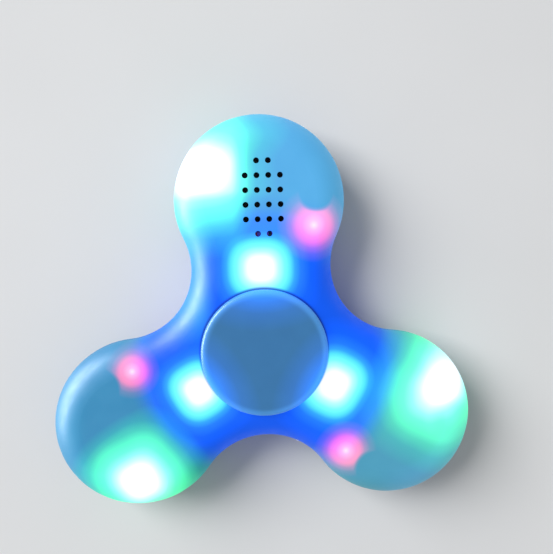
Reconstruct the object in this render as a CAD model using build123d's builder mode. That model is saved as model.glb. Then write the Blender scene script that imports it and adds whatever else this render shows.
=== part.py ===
from build123d import *

import os
from math import pi

# Light-up hand spinner: a hollow translucent body with three round lobes that turns on a ball
# bearing between two finger caps. One lobe holds a speaker under a drilled grille, one holds the
# battery, and one holds the charging socket, the chips and the power button. One circuit board
# carries three coloured lamps in every lobe.
#
# The origin is at the middle of the bottom cap's flat outer face, +Z runs up the spin axis, and
# +Y runs along the speaker arm. All sizes are in millimetres.

# ------------------------------------------------------------------ body outline and heights
LOBE_DISTANCE = 28.6  # from the spin axis to each lobe's centre
LOBE_RADIUS = 16.5
WAIST_DISTANCE = 31.55  # from the spin axis to each concave waist's centre
WAIST_ANGLE = 30.0  # of the waist to the right of the +Y arm
ARM_STEP = 120.0
SPEAKER_ARM = 0.0  # turns of the arms from +Y
BATTERY_ARM = ARM_STEP
SOCKET_ARM = 2 * ARM_STEP
ARMS = {"speaker": SPEAKER_ARM, "battery": BATTERY_ARM, "socket": SOCKET_ARM}

CAP_RADIUS = 12.0
CAP_THICKNESS = 1.65
CAP_GAP = 0.6  # between a cap and the body
BODY_THICKNESS = 12.0
EDGE_RADIUS = 5.8
WALL = 1.5

BODY_BOTTOM = CAP_THICKNESS + CAP_GAP
BODY_TOP = BODY_BOTTOM + BODY_THICKNESS
MIDDLE = (BODY_BOTTOM + BODY_TOP) / 2
CAVITY_BOTTOM = BODY_BOTTOM + WALL
CAVITY_TOP = BODY_TOP - WALL

# ------------------------------------------------------------------ bearing, 8 x 22 x 7
BORE_RADIUS = 4.0
BEARING_RADIUS = 11.0
BEARING_WIDTH = 7.0
INNER_LAND = 6.05
OUTER_LAND = 8.95
PITCH_RADIUS = (BORE_RADIUS + BEARING_RADIUS) / 2
BALL_RADIUS = 1.95
GROOVE_RADIUS = 1.984
BALL_COUNT = 7
RING_CHAMFER = 0.3
SHIELD_SEAT = 9.6
SHIELD_SEAT_DEPTH = 0.5
SHIELD_OUTER = 9.55
SHIELD_INNER = 6.4
SHIELD_THICKNESS = 0.3
CAGE_INNER = 6.5
CAGE_OUTER = 8.5
CAGE_BELOW = 0.8  # reach of the cage below and above the balls' centres
CAGE_ABOVE = 2.7
POCKET_RADIUS = 2.02
BEARING_BOTTOM = MIDDLE - BEARING_WIDTH / 2
BEARING_TOP = MIDDLE + BEARING_WIDTH / 2

# ------------------------------------------------------------------ finger caps
CAP_EDGE = 0.8
CAP_UNDER_EDGE = 0.25
CAP_BOSS_RADIUS = 5.6  # stands on the inner ring's face
STEM_RADIUS = 3.98
TOP_STEM_LENGTH = 6.0
BOTTOM_STEM_LENGTH = 0.8
SOCKET_RADIUS = 2.5
SOCKET_DEPTH = 5.0
PIN_RADIUS = 2.49
PIN_LENGTH = 5.5

# ------------------------------------------------------------------ shells
CAVITY_EDGE = EDGE_RADIUS - WALL
POCKET_WALL = 1.4  # round the bearing's outer ring
SHOULDER_RADIUS = 9.5
LIP_HEIGHT = 0.8
LIP_OUTER_INSET = 0.85
STEP_INSET = 0.75
STEP_HEIGHT = 0.95
SEAM_WIDTH = 0.24  # of the groove round the outline where the shells meet
SEAM_DEPTH = 0.2
SCREW_POST = (10.4, 29.3)  # in each arm's own frame, with the arm along +Y
POST_RADIUS = 2.9
PILOT_RADIUS = 1.02
SCREW_CLEARANCE = 1.2
HEAD_RECESS_RADIUS = 2.1
POST_GAP = 0.05  # between a post's end and the board

GRILLE_COLUMNS = 4
GRILLE_ROWS = 4  # full rows; one short row of two holes lies beyond each end
GRILLE_PITCH_X = 2.18
GRILLE_PITCH_Y = 2.71
GRILLE_HOLE_RADIUS = 0.55
GRILLE_CENTRE = (0.47, 29.17)
SHORT_ROW_OFFSET = GRILLE_PITCH_Y * (GRILLE_ROWS + 1) / 2

# ------------------------------------------------------------------ circuit board and lamps
CAN_HEIGHT = 2.5  # of the charging socket, which is centred on the parting line
BOARD_TOP = MIDDLE - CAN_HEIGHT / 2
BOARD_THICKNESS = 1.0
BOARD_BOTTOM = BOARD_TOP - BOARD_THICKNESS
BOARD_INSET = 2.4
BOARD_HOLE_RADIUS = 13.0

LAMP_PLACES = {"blue": (0.0, 15.8), "red": (9.8, 23.15), "green": (-9.5, 33.0)}
LAMP_LENGTH = 3.5
LAMP_WIDTH = 2.8
LAMP_HEIGHT = 1.9
LAMP_EDGE = 0.25
LENS_RADIUS = 1.2
LENS_DEPTH = 1.3
LENS_PROUD = 0.3  # of the lamp's top
LENS_CROWN_EDGE = 0.24

RESISTOR_SIZE = (1.6, 0.8, 0.45)
RESISTOR_PLACES = ((3.6, 16.6), (7.2, 20.4), (-9.5, 30.2))
CAPACITOR_SIZE = (1.6, 0.8, 0.8)
CAPACITOR_PLACES = ((-3.2, 21.2), (0.2, 21.2), (3.6, 21.2), (6.2, 26.6), (7.0, 36.6), (-1.0, 36.6))

# ------------------------------------------------------------------ speaker
SPEAKER_CENTRE = (0.52, 31.1)
SPEAKER_WIDTH = 11.0
SPEAKER_LENGTH = 15.0
SPEAKER_HEIGHT = 3.5
SPEAKER_CORNER = 1.0
FOAM_THICKNESS = 0.5
SPEAKER_TOP = CAVITY_TOP - FOAM_THICKNESS
SPEAKER_BOTTOM = SPEAKER_TOP - SPEAKER_HEIGHT
FOAM_SIZE = (10.4, 14.4)
FOAM_OPENING = (8.4, 12.4)
FOAM_CORNER = 2.0
MESH_SIZE = (8.2, 12.2)
MESH_THICKNESS = 0.15
RIB_GAP = 0.2
RIB_THICKNESS = 0.8
RIB_HEIGHT = 2.0
RIM_WIDTH = 0.6
LEDGE_DEPTH = 1.1
YOKE_SIZE = (7.2, 9.2)
YOKE_WALL = 0.6
YOKE_HEIGHT = 2.1
YOKE_FLOOR = 0.5
MAGNET_SIZE = (4.4, 6.4)
MAGNET_HEIGHT = 1.0
PLATE_HEIGHT = 0.4
COIL_OUTER = (5.6, 7.6)
COIL_INNER = (4.8, 6.8)
COIL_CORNER = 0.8
COIL_INNER_CORNER = 0.4
COIL_HEIGHT = 1.7
CONE_SIZE = (7.8, 11.8)
CONE_CORNER = 1.6
CONE_THICKNESS = 0.3
CONE_BOTTOM = SPEAKER_TOP - 0.8
SURROUND_THICKNESS = 0.2
SURROUND_FOOT = 0.6

# ------------------------------------------------------------------ battery
CELL_CENTRE = (0.0, 28.5)
CELL_WIDTH = 11.0
CELL_LENGTH = 20.0
CELL_HEIGHT = 4.0
CELL_EDGE = 0.6
TAPE_THICKNESS = 0.3
TAPE_SIZE = (9.0, 17.0)

# ------------------------------------------------------------------ leads
LEAD_RADIUS = 0.3
LEAD_BEND = 1.8
LEAD_HEIGHT = 2.1  # of the speaker's and the battery's ends of the leads above the board
LEAD_REACH = 2.6
SPEAKER_LEAD_PLACES = {"speaker_lead_red": -0.9, "speaker_lead_black": 1.9}
BATTERY_LEAD_PLACES = {"battery_lead_red": -1.6, "battery_lead_black": 1.6}

# ------------------------------------------------------------------ charging socket
PORT_OFFSET = 1.2  # of the socket's centre line from the arm's centre line
OPENING_WIDTH = 8.8
OPENING_HEIGHT = 3.4
OPENING_CORNER = 1.1
CAN_WIDTH = 7.5
CAN_LENGTH = 5.2
CAN_MOUTH = 43.9  # along the arm
CAN_WALL = 0.3
CAN_BEVEL = 0.8
TONGUE_WIDTH = 3.7
TONGUE_THICKNESS = 0.6
TONGUE_LENGTH = 3.4
PLUG_DEPTH = 4.2
CONTACT_COUNT = 5
CONTACT_PITCH = 0.65
CONTACT_WIDTH = 0.3
CONTACT_THICKNESS = 0.15

# ------------------------------------------------------------------ chips
SOIC_BODY_WIDTH = 3.9
SOIC_BODY_HEIGHT = 1.4
SOIC_STANDOFF = 0.15
SOIC_PITCH = 1.27
SOIC_SPAN = 6.0
LEG_WIDTH = 0.42
LEG_THICKNESS = 0.2
LEG_FOOT = 0.6
SOUND_CHIP = ((-1.5, 26.3), 9.9, 8)  # place, body length and legs on each side
AMPLIFIER_CHIP = ((3.4, 33.4), 4.9, 4)
CHARGER_CHIP = ((-5.2, 37.0), 3.6, 2)
CRYSTAL_PLACE = (-4.8, 32.4)
CRYSTAL_SIZE = (3.2, 2.5, 0.8)
CRYSTAL_CORNER = 0.3
ANTENNA_PLACE = (-10.2, 25.6)
ANTENNA_SIZE = (2.0, 5.2, 1.2)

# ------------------------------------------------------------------ power button
BUTTON_PLACE = (0.0, 30.0)
BUTTON_RADIUS = 3.0
BUTTON_HOLE_RADIUS = 3.25
BUTTON_PROUD = 0.4
BUTTON_EDGE = 0.35
FLANGE_RADIUS = 4.0
FLANGE_GAP = 0.05
FLANGE_THICKNESS = 0.3
PLUNGER_RADIUS = 0.9
PLUNGER_LENGTH = 1.3
SWITCH_WIDTH = 4.5
SWITCH_HEIGHT = 1.2
SWITCH_CORNER = 0.4
SWITCH_WELL_RADIUS = 1.2
SWITCH_WELL_DEPTH = 0.95
DOME_RADIUS = 1.1
DOME_CROWN = 0.4
DOME_THICKNESS = 0.1
DOME_RISE = 0.25

# ------------------------------------------------------------------ screws
SHANK_RADIUS = 1.0
SCREW_LENGTH = 8.0
HEAD_RADIUS = 1.9
HEAD_HEIGHT = 1.2
HEAD_EDGE = 0.4
CROSS_LENGTH = 2.2
CROSS_WIDTH = 0.5
CROSS_DEPTH = 0.7
SCREW_SEAT = CAVITY_BOTTOM + 0.1

os.makedirs("parts", exist_ok=True)


def arm_plane(turn, height):
    """Level plane at a height, turned so that its +Y runs along one arm."""
    return Plane.XY.rotated((0, 0, turn)).offset(height)


def lobed_face(inset, height):
    """Face inside three lobes and three waists, drawn in from the body's outline by inset."""
    lobe_centre = Vector(0, LOBE_DISTANCE)
    waist_centre = Vector(WAIST_DISTANCE, 0).rotate(Axis.Z, WAIST_ANGLE)
    waist_radius = (waist_centre - lobe_centre).length - LOBE_RADIUS + inset
    right_end = lobe_centre + (waist_centre - lobe_centre).normalized() * (LOBE_RADIUS - inset)
    left_end = Vector(-right_end.X, right_end.Y)
    tip = Vector(0, LOBE_DISTANCE + LOBE_RADIUS - inset)
    narrowest = waist_centre.normalized() * (WAIST_DISTANCE - waist_radius)
    with BuildSketch(Plane.XY.offset(height)) as lobed:
        with BuildLine():
            for turn in ARMS.values():
                start = left_end.rotate(Axis.Z, turn)
                end = right_end.rotate(Axis.Z, turn)
                next_start = left_end.rotate(Axis.Z, turn - ARM_STEP)
                ThreePointArc(start, tip.rotate(Axis.Z, turn), end)
                ThreePointArc(end, narrowest.rotate(Axis.Z, turn), next_start)
        make_face()
    return lobed.sketch


def rounded_lobes(inset, bottom, height, radius):
    """Lobed solid with its top and bottom edges rounded."""
    with BuildPart() as lobes:
        extrude(lobed_face(inset, bottom), amount=height)
        top_rim = lobes.faces().sort_by(Axis.Z)[-1].edges()
        bottom_rim = lobes.faces().sort_by(Axis.Z)[0].edges()
        fillet(top_rim + bottom_rim, radius=radius)
    return lobes.part


def rounded_block(plane, centre, size, height, corner=0.0):
    """Upright block with rounded corners, standing on a plane."""
    with BuildPart() as block:
        with BuildSketch(plane):
            with Locations(centre):
                if corner:
                    RectangleRounded(*size, corner)
                else:
                    Rectangle(*size)
        extrude(amount=height)
    return block.part


def body_half(keep):
    """Hollow half of the body on one side of the parting line, with its bearing pocket."""
    pocket_outer = BEARING_RADIUS + POCKET_WALL
    outside = rounded_lobes(0, BODY_BOTTOM, BODY_THICKNESS, EDGE_RADIUS)
    inside = rounded_lobes(WALL, CAVITY_BOTTOM, CAVITY_TOP - CAVITY_BOTTOM, CAVITY_EDGE)
    with BuildPart() as half:
        add(outside)
        add(inside, mode=Mode.SUBTRACT)
        with BuildSketch(Plane.XY.offset(CAVITY_BOTTOM)):
            Circle(pocket_outer)
        extrude(amount=CAVITY_TOP - CAVITY_BOTTOM)
        with BuildSketch(Plane.XY.offset(BEARING_BOTTOM)):
            Circle(BEARING_RADIUS)
        extrude(amount=BEARING_WIDTH, mode=Mode.SUBTRACT)
        with BuildSketch(Plane.XY.offset(BODY_BOTTOM)):
            Circle(SHOULDER_RADIUS)
        extrude(amount=BODY_THICKNESS, mode=Mode.SUBTRACT)
        add(seam_groove(), mode=Mode.SUBTRACT)
        split(bisect_by=Plane.XY.offset(MIDDLE), keep=keep)
    return half.part


def seam_groove():
    """Band that cuts a shallow groove all round the outline at the parting line."""
    seam_bottom = MIDDLE - SEAM_WIDTH / 2
    with BuildPart() as band:
        extrude(lobed_face(-SEAM_DEPTH, seam_bottom), amount=SEAM_WIDTH)
        extrude(lobed_face(SEAM_DEPTH, seam_bottom), amount=SEAM_WIDTH, mode=Mode.SUBTRACT)
    return band.part


def port_cut():
    """Solid that cuts the charging socket's opening through the end of its lobe."""
    end_plane = Plane(
        origin=arm_plane(SOCKET_ARM, MIDDLE).from_local_coords((PORT_OFFSET, CAN_MOUTH - CAN_LENGTH, 0)),
        x_dir=arm_plane(SOCKET_ARM, MIDDLE).x_dir,
        z_dir=arm_plane(SOCKET_ARM, MIDDLE).y_dir,
    )
    with BuildPart() as cut:
        with BuildSketch(end_plane):
            RectangleRounded(OPENING_WIDTH, OPENING_HEIGHT, OPENING_CORNER)
        extrude(amount=2 * CAN_LENGTH)
    return cut.part


# ------------------------------------------------------------------ finger caps
with BuildPart() as finger_cap_top:
    with BuildSketch(Plane.XY.offset(BODY_TOP + CAP_GAP)):
        Circle(CAP_RADIUS)
    extrude(amount=CAP_THICKNESS)
    fillet(finger_cap_top.edges().sort_by(Axis.Z)[-1], radius=CAP_EDGE)
    fillet(finger_cap_top.edges().sort_by(Axis.Z)[0], radius=CAP_UNDER_EDGE)
    with BuildSketch(Plane.XY.offset(BEARING_TOP)):
        Circle(CAP_BOSS_RADIUS)
    extrude(amount=BODY_TOP + CAP_GAP - BEARING_TOP)
    with BuildSketch(Plane.XY.offset(BEARING_TOP - TOP_STEM_LENGTH)) as top_stem:
        Circle(STEM_RADIUS)
    extrude(amount=TOP_STEM_LENGTH)
    with BuildSketch(top_stem.workplanes[0]):
        Circle(SOCKET_RADIUS)
    extrude(amount=SOCKET_DEPTH, mode=Mode.SUBTRACT)

finger_cap_top.part.label = "finger_cap_top"
export_step(finger_cap_top.part, "parts/finger_cap_top.step")

with BuildPart() as finger_cap_bottom:
    with BuildSketch():
        Circle(CAP_RADIUS)
    extrude(amount=CAP_THICKNESS)
    fillet(finger_cap_bottom.edges().sort_by(Axis.Z)[0], radius=CAP_EDGE)
    fillet(finger_cap_bottom.edges().sort_by(Axis.Z)[-1], radius=CAP_UNDER_EDGE)
    with BuildSketch(Plane.XY.offset(CAP_THICKNESS)):
        Circle(CAP_BOSS_RADIUS)
    extrude(amount=BEARING_BOTTOM - CAP_THICKNESS)
    with BuildSketch(Plane.XY.offset(BEARING_BOTTOM)) as bottom_stem:
        Circle(STEM_RADIUS)
    extrude(amount=BOTTOM_STEM_LENGTH)
    with BuildSketch(bottom_stem.workplanes[0]):
        Circle(PIN_RADIUS)
    extrude(amount=PIN_LENGTH)

finger_cap_bottom.part.label = "finger_cap_bottom"
export_step(finger_cap_bottom.part, "parts/finger_cap_bottom.step")

# ------------------------------------------------------------------ bearing
with BuildPart() as bearing_inner_ring:
    with BuildSketch(Plane.XZ):
        with Locations(((BORE_RADIUS + INNER_LAND) / 2, MIDDLE)):
            Rectangle(INNER_LAND - BORE_RADIUS, BEARING_WIDTH)
        with Locations((PITCH_RADIUS, MIDDLE)):
            Circle(GROOVE_RADIUS, mode=Mode.SUBTRACT)
    revolve(axis=Axis.Z)
    inner_rims = bearing_inner_ring.edges().group_by(Axis.Z)
    chamfer((inner_rims[0] + inner_rims[-1]).sort_by(SortBy.RADIUS)[:2], length=RING_CHAMFER)

bearing_inner_ring.part.label = "bearing_inner_ring"
export_step(bearing_inner_ring.part, "parts/bearing_inner_ring.step")

with BuildPart() as bearing_outer_ring:
    with BuildSketch(Plane.XZ):
        with Locations(((OUTER_LAND + BEARING_RADIUS) / 2, MIDDLE)):
            Rectangle(BEARING_RADIUS - OUTER_LAND, BEARING_WIDTH)
        with Locations((PITCH_RADIUS, MIDDLE)):
            Circle(GROOVE_RADIUS, mode=Mode.SUBTRACT)
        with Locations(
            (SHIELD_SEAT / 2, BEARING_TOP - SHIELD_SEAT_DEPTH / 2),
            (SHIELD_SEAT / 2, BEARING_BOTTOM + SHIELD_SEAT_DEPTH / 2),
        ):
            Rectangle(SHIELD_SEAT, SHIELD_SEAT_DEPTH, mode=Mode.SUBTRACT)
    revolve(axis=Axis.Z)
    outer_rims = bearing_outer_ring.edges().group_by(Axis.Z)
    chamfer((outer_rims[0] + outer_rims[-1]).sort_by(SortBy.RADIUS)[-2:], length=RING_CHAMFER)

bearing_outer_ring.part.label = "bearing_outer_ring"
export_step(bearing_outer_ring.part, "parts/bearing_outer_ring.step")

SHIELD_BOTTOMS = {
    "bearing_shield_top": BEARING_TOP - SHIELD_SEAT_DEPTH,
    "bearing_shield_bottom": BEARING_BOTTOM + SHIELD_SEAT_DEPTH - SHIELD_THICKNESS,
}
for shield_name, shield_bottom in SHIELD_BOTTOMS.items():
    with BuildPart() as bearing_shield:
        with BuildSketch(Plane.XY.offset(shield_bottom)):
            Circle(SHIELD_OUTER)
            Circle(SHIELD_INNER, mode=Mode.SUBTRACT)
        extrude(amount=SHIELD_THICKNESS)
    bearing_shield.part.label = shield_name
    export_step(bearing_shield.part, f"parts/{shield_name}.step")

with BuildPart() as bearing_cage:
    with BuildSketch(Plane.XY.offset(MIDDLE - CAGE_BELOW)):
        Circle(CAGE_OUTER)
        Circle(CAGE_INNER, mode=Mode.SUBTRACT)
    extrude(amount=CAGE_BELOW + CAGE_ABOVE)
    with Locations((0, 0, MIDDLE)):
        with PolarLocations(PITCH_RADIUS, BALL_COUNT):
            Sphere(POCKET_RADIUS, mode=Mode.SUBTRACT)

bearing_cage.part.label = "bearing_cage"
export_step(bearing_cage.part, "parts/bearing_cage.step")

for index in range(BALL_COUNT):
    with BuildPart() as bearing_ball:
        with Locations(Vector(PITCH_RADIUS, 0, MIDDLE).rotate(Axis.Z, index * 360 / BALL_COUNT)):
            Sphere(BALL_RADIUS)
    bearing_ball.part.label = f"bearing_ball_{index + 1}"
    export_step(bearing_ball.part, f"parts/bearing_ball_{index + 1}.step")

# ------------------------------------------------------------------ shells
with BuildPart() as shell_top:
    add(body_half(Keep.TOP))
    extrude(lobed_face(STEP_INSET, MIDDLE), amount=STEP_HEIGHT, mode=Mode.SUBTRACT)
    with BuildSketch(Plane.XY.offset(MIDDLE)):
        Circle(BEARING_RADIUS + POCKET_WALL)
        Circle(BEARING_RADIUS, mode=Mode.SUBTRACT)
    extrude(amount=STEP_HEIGHT)
    # posts that the screws bite into, from just above the board to the ceiling
    for post_turn in ARMS.values():
        with BuildSketch(arm_plane(post_turn, BOARD_TOP + POST_GAP)):
            with Locations(SCREW_POST):
                Circle(POST_RADIUS)
        extrude(amount=CAVITY_TOP - BOARD_TOP - POST_GAP)
        with BuildSketch(arm_plane(post_turn, BOARD_TOP + POST_GAP)):
            with Locations(SCREW_POST):
                Circle(PILOT_RADIUS)
        extrude(amount=CAVITY_TOP - BOARD_TOP - POST_GAP, mode=Mode.SUBTRACT)
    # ribs that box in the speaker, hanging from the ceiling
    with BuildSketch(arm_plane(SPEAKER_ARM, CAVITY_TOP - RIB_HEIGHT)):
        with Locations(SPEAKER_CENTRE):
            Rectangle(
                SPEAKER_WIDTH + 2 * (RIB_GAP + RIB_THICKNESS),
                SPEAKER_LENGTH + 2 * (RIB_GAP + RIB_THICKNESS),
            )
            Rectangle(SPEAKER_WIDTH + 2 * RIB_GAP, SPEAKER_LENGTH + 2 * RIB_GAP, mode=Mode.SUBTRACT)
    extrude(amount=RIB_HEIGHT)
    # grille: four rows of four holes with a short row of two beyond each end
    with BuildSketch(arm_plane(SPEAKER_ARM, CAVITY_TOP)):
        with Locations(GRILLE_CENTRE):
            with GridLocations(GRILLE_PITCH_X, GRILLE_PITCH_Y, GRILLE_COLUMNS, GRILLE_ROWS):
                Circle(GRILLE_HOLE_RADIUS)
            with GridLocations(GRILLE_PITCH_X, 2 * SHORT_ROW_OFFSET, 2, 2):
                Circle(GRILLE_HOLE_RADIUS)
    extrude(amount=WALL, mode=Mode.SUBTRACT)
    add(port_cut(), mode=Mode.SUBTRACT)

shell_top.part.label = "shell_top"
export_step(shell_top.part, "parts/shell_top.step")

with BuildPart() as shell_bottom:
    add(body_half(Keep.BOTTOM))
    # lip on the inner half of the wall, which the top shell's step fits over
    extrude(lobed_face(LIP_OUTER_INSET, MIDDLE), amount=LIP_HEIGHT)
    extrude(lobed_face(WALL, MIDDLE), amount=LIP_HEIGHT, mode=Mode.SUBTRACT)
    # posts that carry the board, drilled for the screws and recessed for their heads
    for post_turn in ARMS.values():
        with BuildSketch(arm_plane(post_turn, CAVITY_BOTTOM)):
            with Locations(SCREW_POST):
                Circle(POST_RADIUS)
        extrude(amount=BOARD_BOTTOM - CAVITY_BOTTOM - POST_GAP)
        with BuildSketch(arm_plane(post_turn, BODY_BOTTOM)):
            with Locations(SCREW_POST):
                Circle(SCREW_CLEARANCE)
        extrude(amount=BOARD_BOTTOM - BODY_BOTTOM, mode=Mode.SUBTRACT)
        with BuildSketch(arm_plane(post_turn, BODY_BOTTOM)):
            with Locations(SCREW_POST):
                Circle(HEAD_RECESS_RADIUS)
        extrude(amount=SCREW_SEAT - BODY_BOTTOM, mode=Mode.SUBTRACT)
    with BuildSketch(arm_plane(SOCKET_ARM, BODY_BOTTOM)):
        with Locations(BUTTON_PLACE):
            Circle(BUTTON_HOLE_RADIUS)
    extrude(amount=WALL, mode=Mode.SUBTRACT)
    add(port_cut(), mode=Mode.SUBTRACT)

shell_bottom.part.label = "shell_bottom"
export_step(shell_bottom.part, "parts/shell_bottom.step")

with BuildPart() as case_screws:
    for screw_turn in ARMS.values():
        with BuildSketch(arm_plane(screw_turn, SCREW_SEAT - HEAD_HEIGHT)):
            with Locations(SCREW_POST):
                Circle(HEAD_RADIUS)
        extrude(amount=HEAD_HEIGHT)
    fillet(case_screws.edges().group_by(Axis.Z)[0], radius=HEAD_EDGE)
    for screw_turn in ARMS.values():
        with BuildSketch(arm_plane(screw_turn, SCREW_SEAT)):
            with Locations(SCREW_POST):
                Circle(SHANK_RADIUS)
        extrude(amount=SCREW_LENGTH)
        with BuildSketch(arm_plane(screw_turn, SCREW_SEAT - HEAD_HEIGHT)):
            with Locations(SCREW_POST):
                Rectangle(CROSS_LENGTH, CROSS_WIDTH)
                Rectangle(CROSS_WIDTH, CROSS_LENGTH)
        extrude(amount=CROSS_DEPTH, mode=Mode.SUBTRACT)

case_screws.part.label = "case_screws"
export_step(case_screws.part, "parts/case_screws.step")

# ------------------------------------------------------------------ circuit board
with BuildPart() as circuit_board:
    extrude(lobed_face(BOARD_INSET, BOARD_BOTTOM), amount=BOARD_THICKNESS)
    with BuildSketch(Plane.XY.offset(BOARD_BOTTOM)):
        Circle(BOARD_HOLE_RADIUS)
    extrude(amount=BOARD_THICKNESS, mode=Mode.SUBTRACT)
    for hole_turn in ARMS.values():
        with BuildSketch(arm_plane(hole_turn, BOARD_BOTTOM)):
            with Locations(SCREW_POST):
                Circle(SCREW_CLEARANCE)
        extrude(amount=BOARD_THICKNESS, mode=Mode.SUBTRACT)

circuit_board.part.label = "circuit_board"
export_step(circuit_board.part, "parts/circuit_board.step")

# ------------------------------------------------------------------ lamps
for colour, place in LAMP_PLACES.items():
    for arm_name, arm_turn in ARMS.items():
        with BuildPart() as lamp:
            with BuildSketch(arm_plane(arm_turn, BOARD_TOP)):
                with Locations(place):
                    RectangleRounded(LAMP_LENGTH, LAMP_WIDTH, LAMP_EDGE)
            extrude(amount=LAMP_HEIGHT)
            with BuildSketch(arm_plane(arm_turn, BOARD_TOP + LAMP_HEIGHT - LENS_DEPTH)):
                with Locations(place):
                    Circle(LENS_RADIUS)
            extrude(amount=LENS_DEPTH, mode=Mode.SUBTRACT)
        lamp.part.label = f"lamp_{colour}_{arm_name}"
        export_step(lamp.part, f"parts/lamp_{colour}_{arm_name}.step")

    with BuildPart() as lenses:
        for arm_turn in ARMS.values():
            with BuildSketch(arm_plane(arm_turn, BOARD_TOP + LAMP_HEIGHT - LENS_DEPTH)):
                with Locations(place):
                    Circle(LENS_RADIUS)
            extrude(amount=LENS_DEPTH + LENS_PROUD)
        fillet(lenses.edges().group_by(Axis.Z)[-1], radius=LENS_CROWN_EDGE)
    lenses.part.label = f"lamp_lenses_{colour}"
    export_step(lenses.part, f"parts/lamp_lenses_{colour}.step")

# ------------------------------------------------------------------ speaker
speaker_floor = arm_plane(SPEAKER_ARM, SPEAKER_BOTTOM)
rim_size = (SPEAKER_WIDTH - 2 * RIM_WIDTH, SPEAKER_LENGTH - 2 * RIM_WIDTH)
ledge_top = SPEAKER_TOP - LEDGE_DEPTH

with BuildPart() as speaker_frame:
    with BuildSketch(speaker_floor):
        with Locations(SPEAKER_CENTRE):
            RectangleRounded(SPEAKER_WIDTH, SPEAKER_LENGTH, SPEAKER_CORNER)
            Rectangle(*YOKE_SIZE, mode=Mode.SUBTRACT)
    extrude(amount=SPEAKER_HEIGHT)
    with BuildSketch(arm_plane(SPEAKER_ARM, ledge_top)):
        with Locations(SPEAKER_CENTRE):
            RectangleRounded(*rim_size, CONE_CORNER)
    extrude(amount=LEDGE_DEPTH, mode=Mode.SUBTRACT)

speaker_frame.part.label = "speaker_frame"
export_step(speaker_frame.part, "parts/speaker_frame.step")

with BuildPart() as speaker_yoke:
    add(rounded_block(speaker_floor, SPEAKER_CENTRE, YOKE_SIZE, YOKE_HEIGHT))
    with BuildSketch(arm_plane(SPEAKER_ARM, SPEAKER_BOTTOM + YOKE_FLOOR)):
        with Locations(SPEAKER_CENTRE):
            Rectangle(YOKE_SIZE[0] - 2 * YOKE_WALL, YOKE_SIZE[1] - 2 * YOKE_WALL)
    extrude(amount=YOKE_HEIGHT, mode=Mode.SUBTRACT)

speaker_yoke.part.label = "speaker_yoke"
export_step(speaker_yoke.part, "parts/speaker_yoke.step")

with BuildPart() as speaker_magnet:
    magnet_bottom = SPEAKER_BOTTOM + YOKE_FLOOR
    add(rounded_block(arm_plane(SPEAKER_ARM, magnet_bottom), SPEAKER_CENTRE, MAGNET_SIZE, MAGNET_HEIGHT))

speaker_magnet.part.label = "speaker_magnet"
export_step(speaker_magnet.part, "parts/speaker_magnet.step")

with BuildPart() as speaker_pole_plate:
    plate_bottom = SPEAKER_BOTTOM + YOKE_FLOOR + MAGNET_HEIGHT
    add(rounded_block(arm_plane(SPEAKER_ARM, plate_bottom), SPEAKER_CENTRE, MAGNET_SIZE, PLATE_HEIGHT))

speaker_pole_plate.part.label = "speaker_pole_plate"
export_step(speaker_pole_plate.part, "parts/speaker_pole_plate.step")

with BuildPart() as voice_coil:
    with BuildSketch(arm_plane(SPEAKER_ARM, CONE_BOTTOM - COIL_HEIGHT)):
        with Locations(SPEAKER_CENTRE):
            RectangleRounded(*COIL_OUTER, COIL_CORNER)
            RectangleRounded(*COIL_INNER, COIL_INNER_CORNER, mode=Mode.SUBTRACT)
    extrude(amount=COIL_HEIGHT)

voice_coil.part.label = "voice_coil"
export_step(voice_coil.part, "parts/voice_coil.step")

with BuildPart() as speaker_diaphragm:
    add(
        rounded_block(
            arm_plane(SPEAKER_ARM, CONE_BOTTOM), SPEAKER_CENTRE, CONE_SIZE, CONE_THICKNESS, CONE_CORNER
        )
    )

speaker_diaphragm.part.label = "speaker_diaphragm"
export_step(speaker_diaphragm.part, "parts/speaker_diaphragm.step")

with BuildPart() as speaker_surround:
    with BuildSketch(arm_plane(SPEAKER_ARM, CONE_BOTTOM)):
        with Locations(SPEAKER_CENTRE):
            RectangleRounded(*rim_size, CONE_CORNER)
            RectangleRounded(*CONE_SIZE, CONE_CORNER, mode=Mode.SUBTRACT)
    extrude(amount=SURROUND_THICKNESS)
    with BuildSketch(arm_plane(SPEAKER_ARM, ledge_top)):
        with Locations(SPEAKER_CENTRE):
            RectangleRounded(*rim_size, CONE_CORNER)
            RectangleRounded(
                rim_size[0] - SURROUND_FOOT, rim_size[1] - SURROUND_FOOT, CONE_CORNER, mode=Mode.SUBTRACT
            )
    extrude(amount=CONE_BOTTOM - ledge_top)

speaker_surround.part.label = "speaker_surround"
export_step(speaker_surround.part, "parts/speaker_surround.step")

with BuildPart() as speaker_gasket:
    with BuildSketch(arm_plane(SPEAKER_ARM, SPEAKER_TOP)):
        with Locations(SPEAKER_CENTRE):
            RectangleRounded(*FOAM_SIZE, FOAM_CORNER)
            Rectangle(*FOAM_OPENING, mode=Mode.SUBTRACT)
    extrude(amount=FOAM_THICKNESS)

speaker_gasket.part.label = "speaker_gasket"
export_step(speaker_gasket.part, "parts/speaker_gasket.step")

with BuildPart() as grille_mesh:
    mesh_plane = arm_plane(SPEAKER_ARM, CAVITY_TOP - MESH_THICKNESS)
    add(rounded_block(mesh_plane, SPEAKER_CENTRE, MESH_SIZE, MESH_THICKNESS))

grille_mesh.part.label = "grille_mesh"
export_step(grille_mesh.part, "parts/grille_mesh.step")

# ------------------------------------------------------------------ battery
with BuildPart() as battery_cell:
    cell_bottom = BOARD_TOP + TAPE_THICKNESS
    with BuildSketch(arm_plane(BATTERY_ARM, cell_bottom)):
        with Locations(CELL_CENTRE):
            Rectangle(CELL_WIDTH, CELL_LENGTH)
    extrude(amount=CELL_HEIGHT)
    fillet(battery_cell.edges().filter_by(Plane.XY), radius=CELL_EDGE)

battery_cell.part.label = "battery_cell"
export_step(battery_cell.part, "parts/battery_cell.step")

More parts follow.
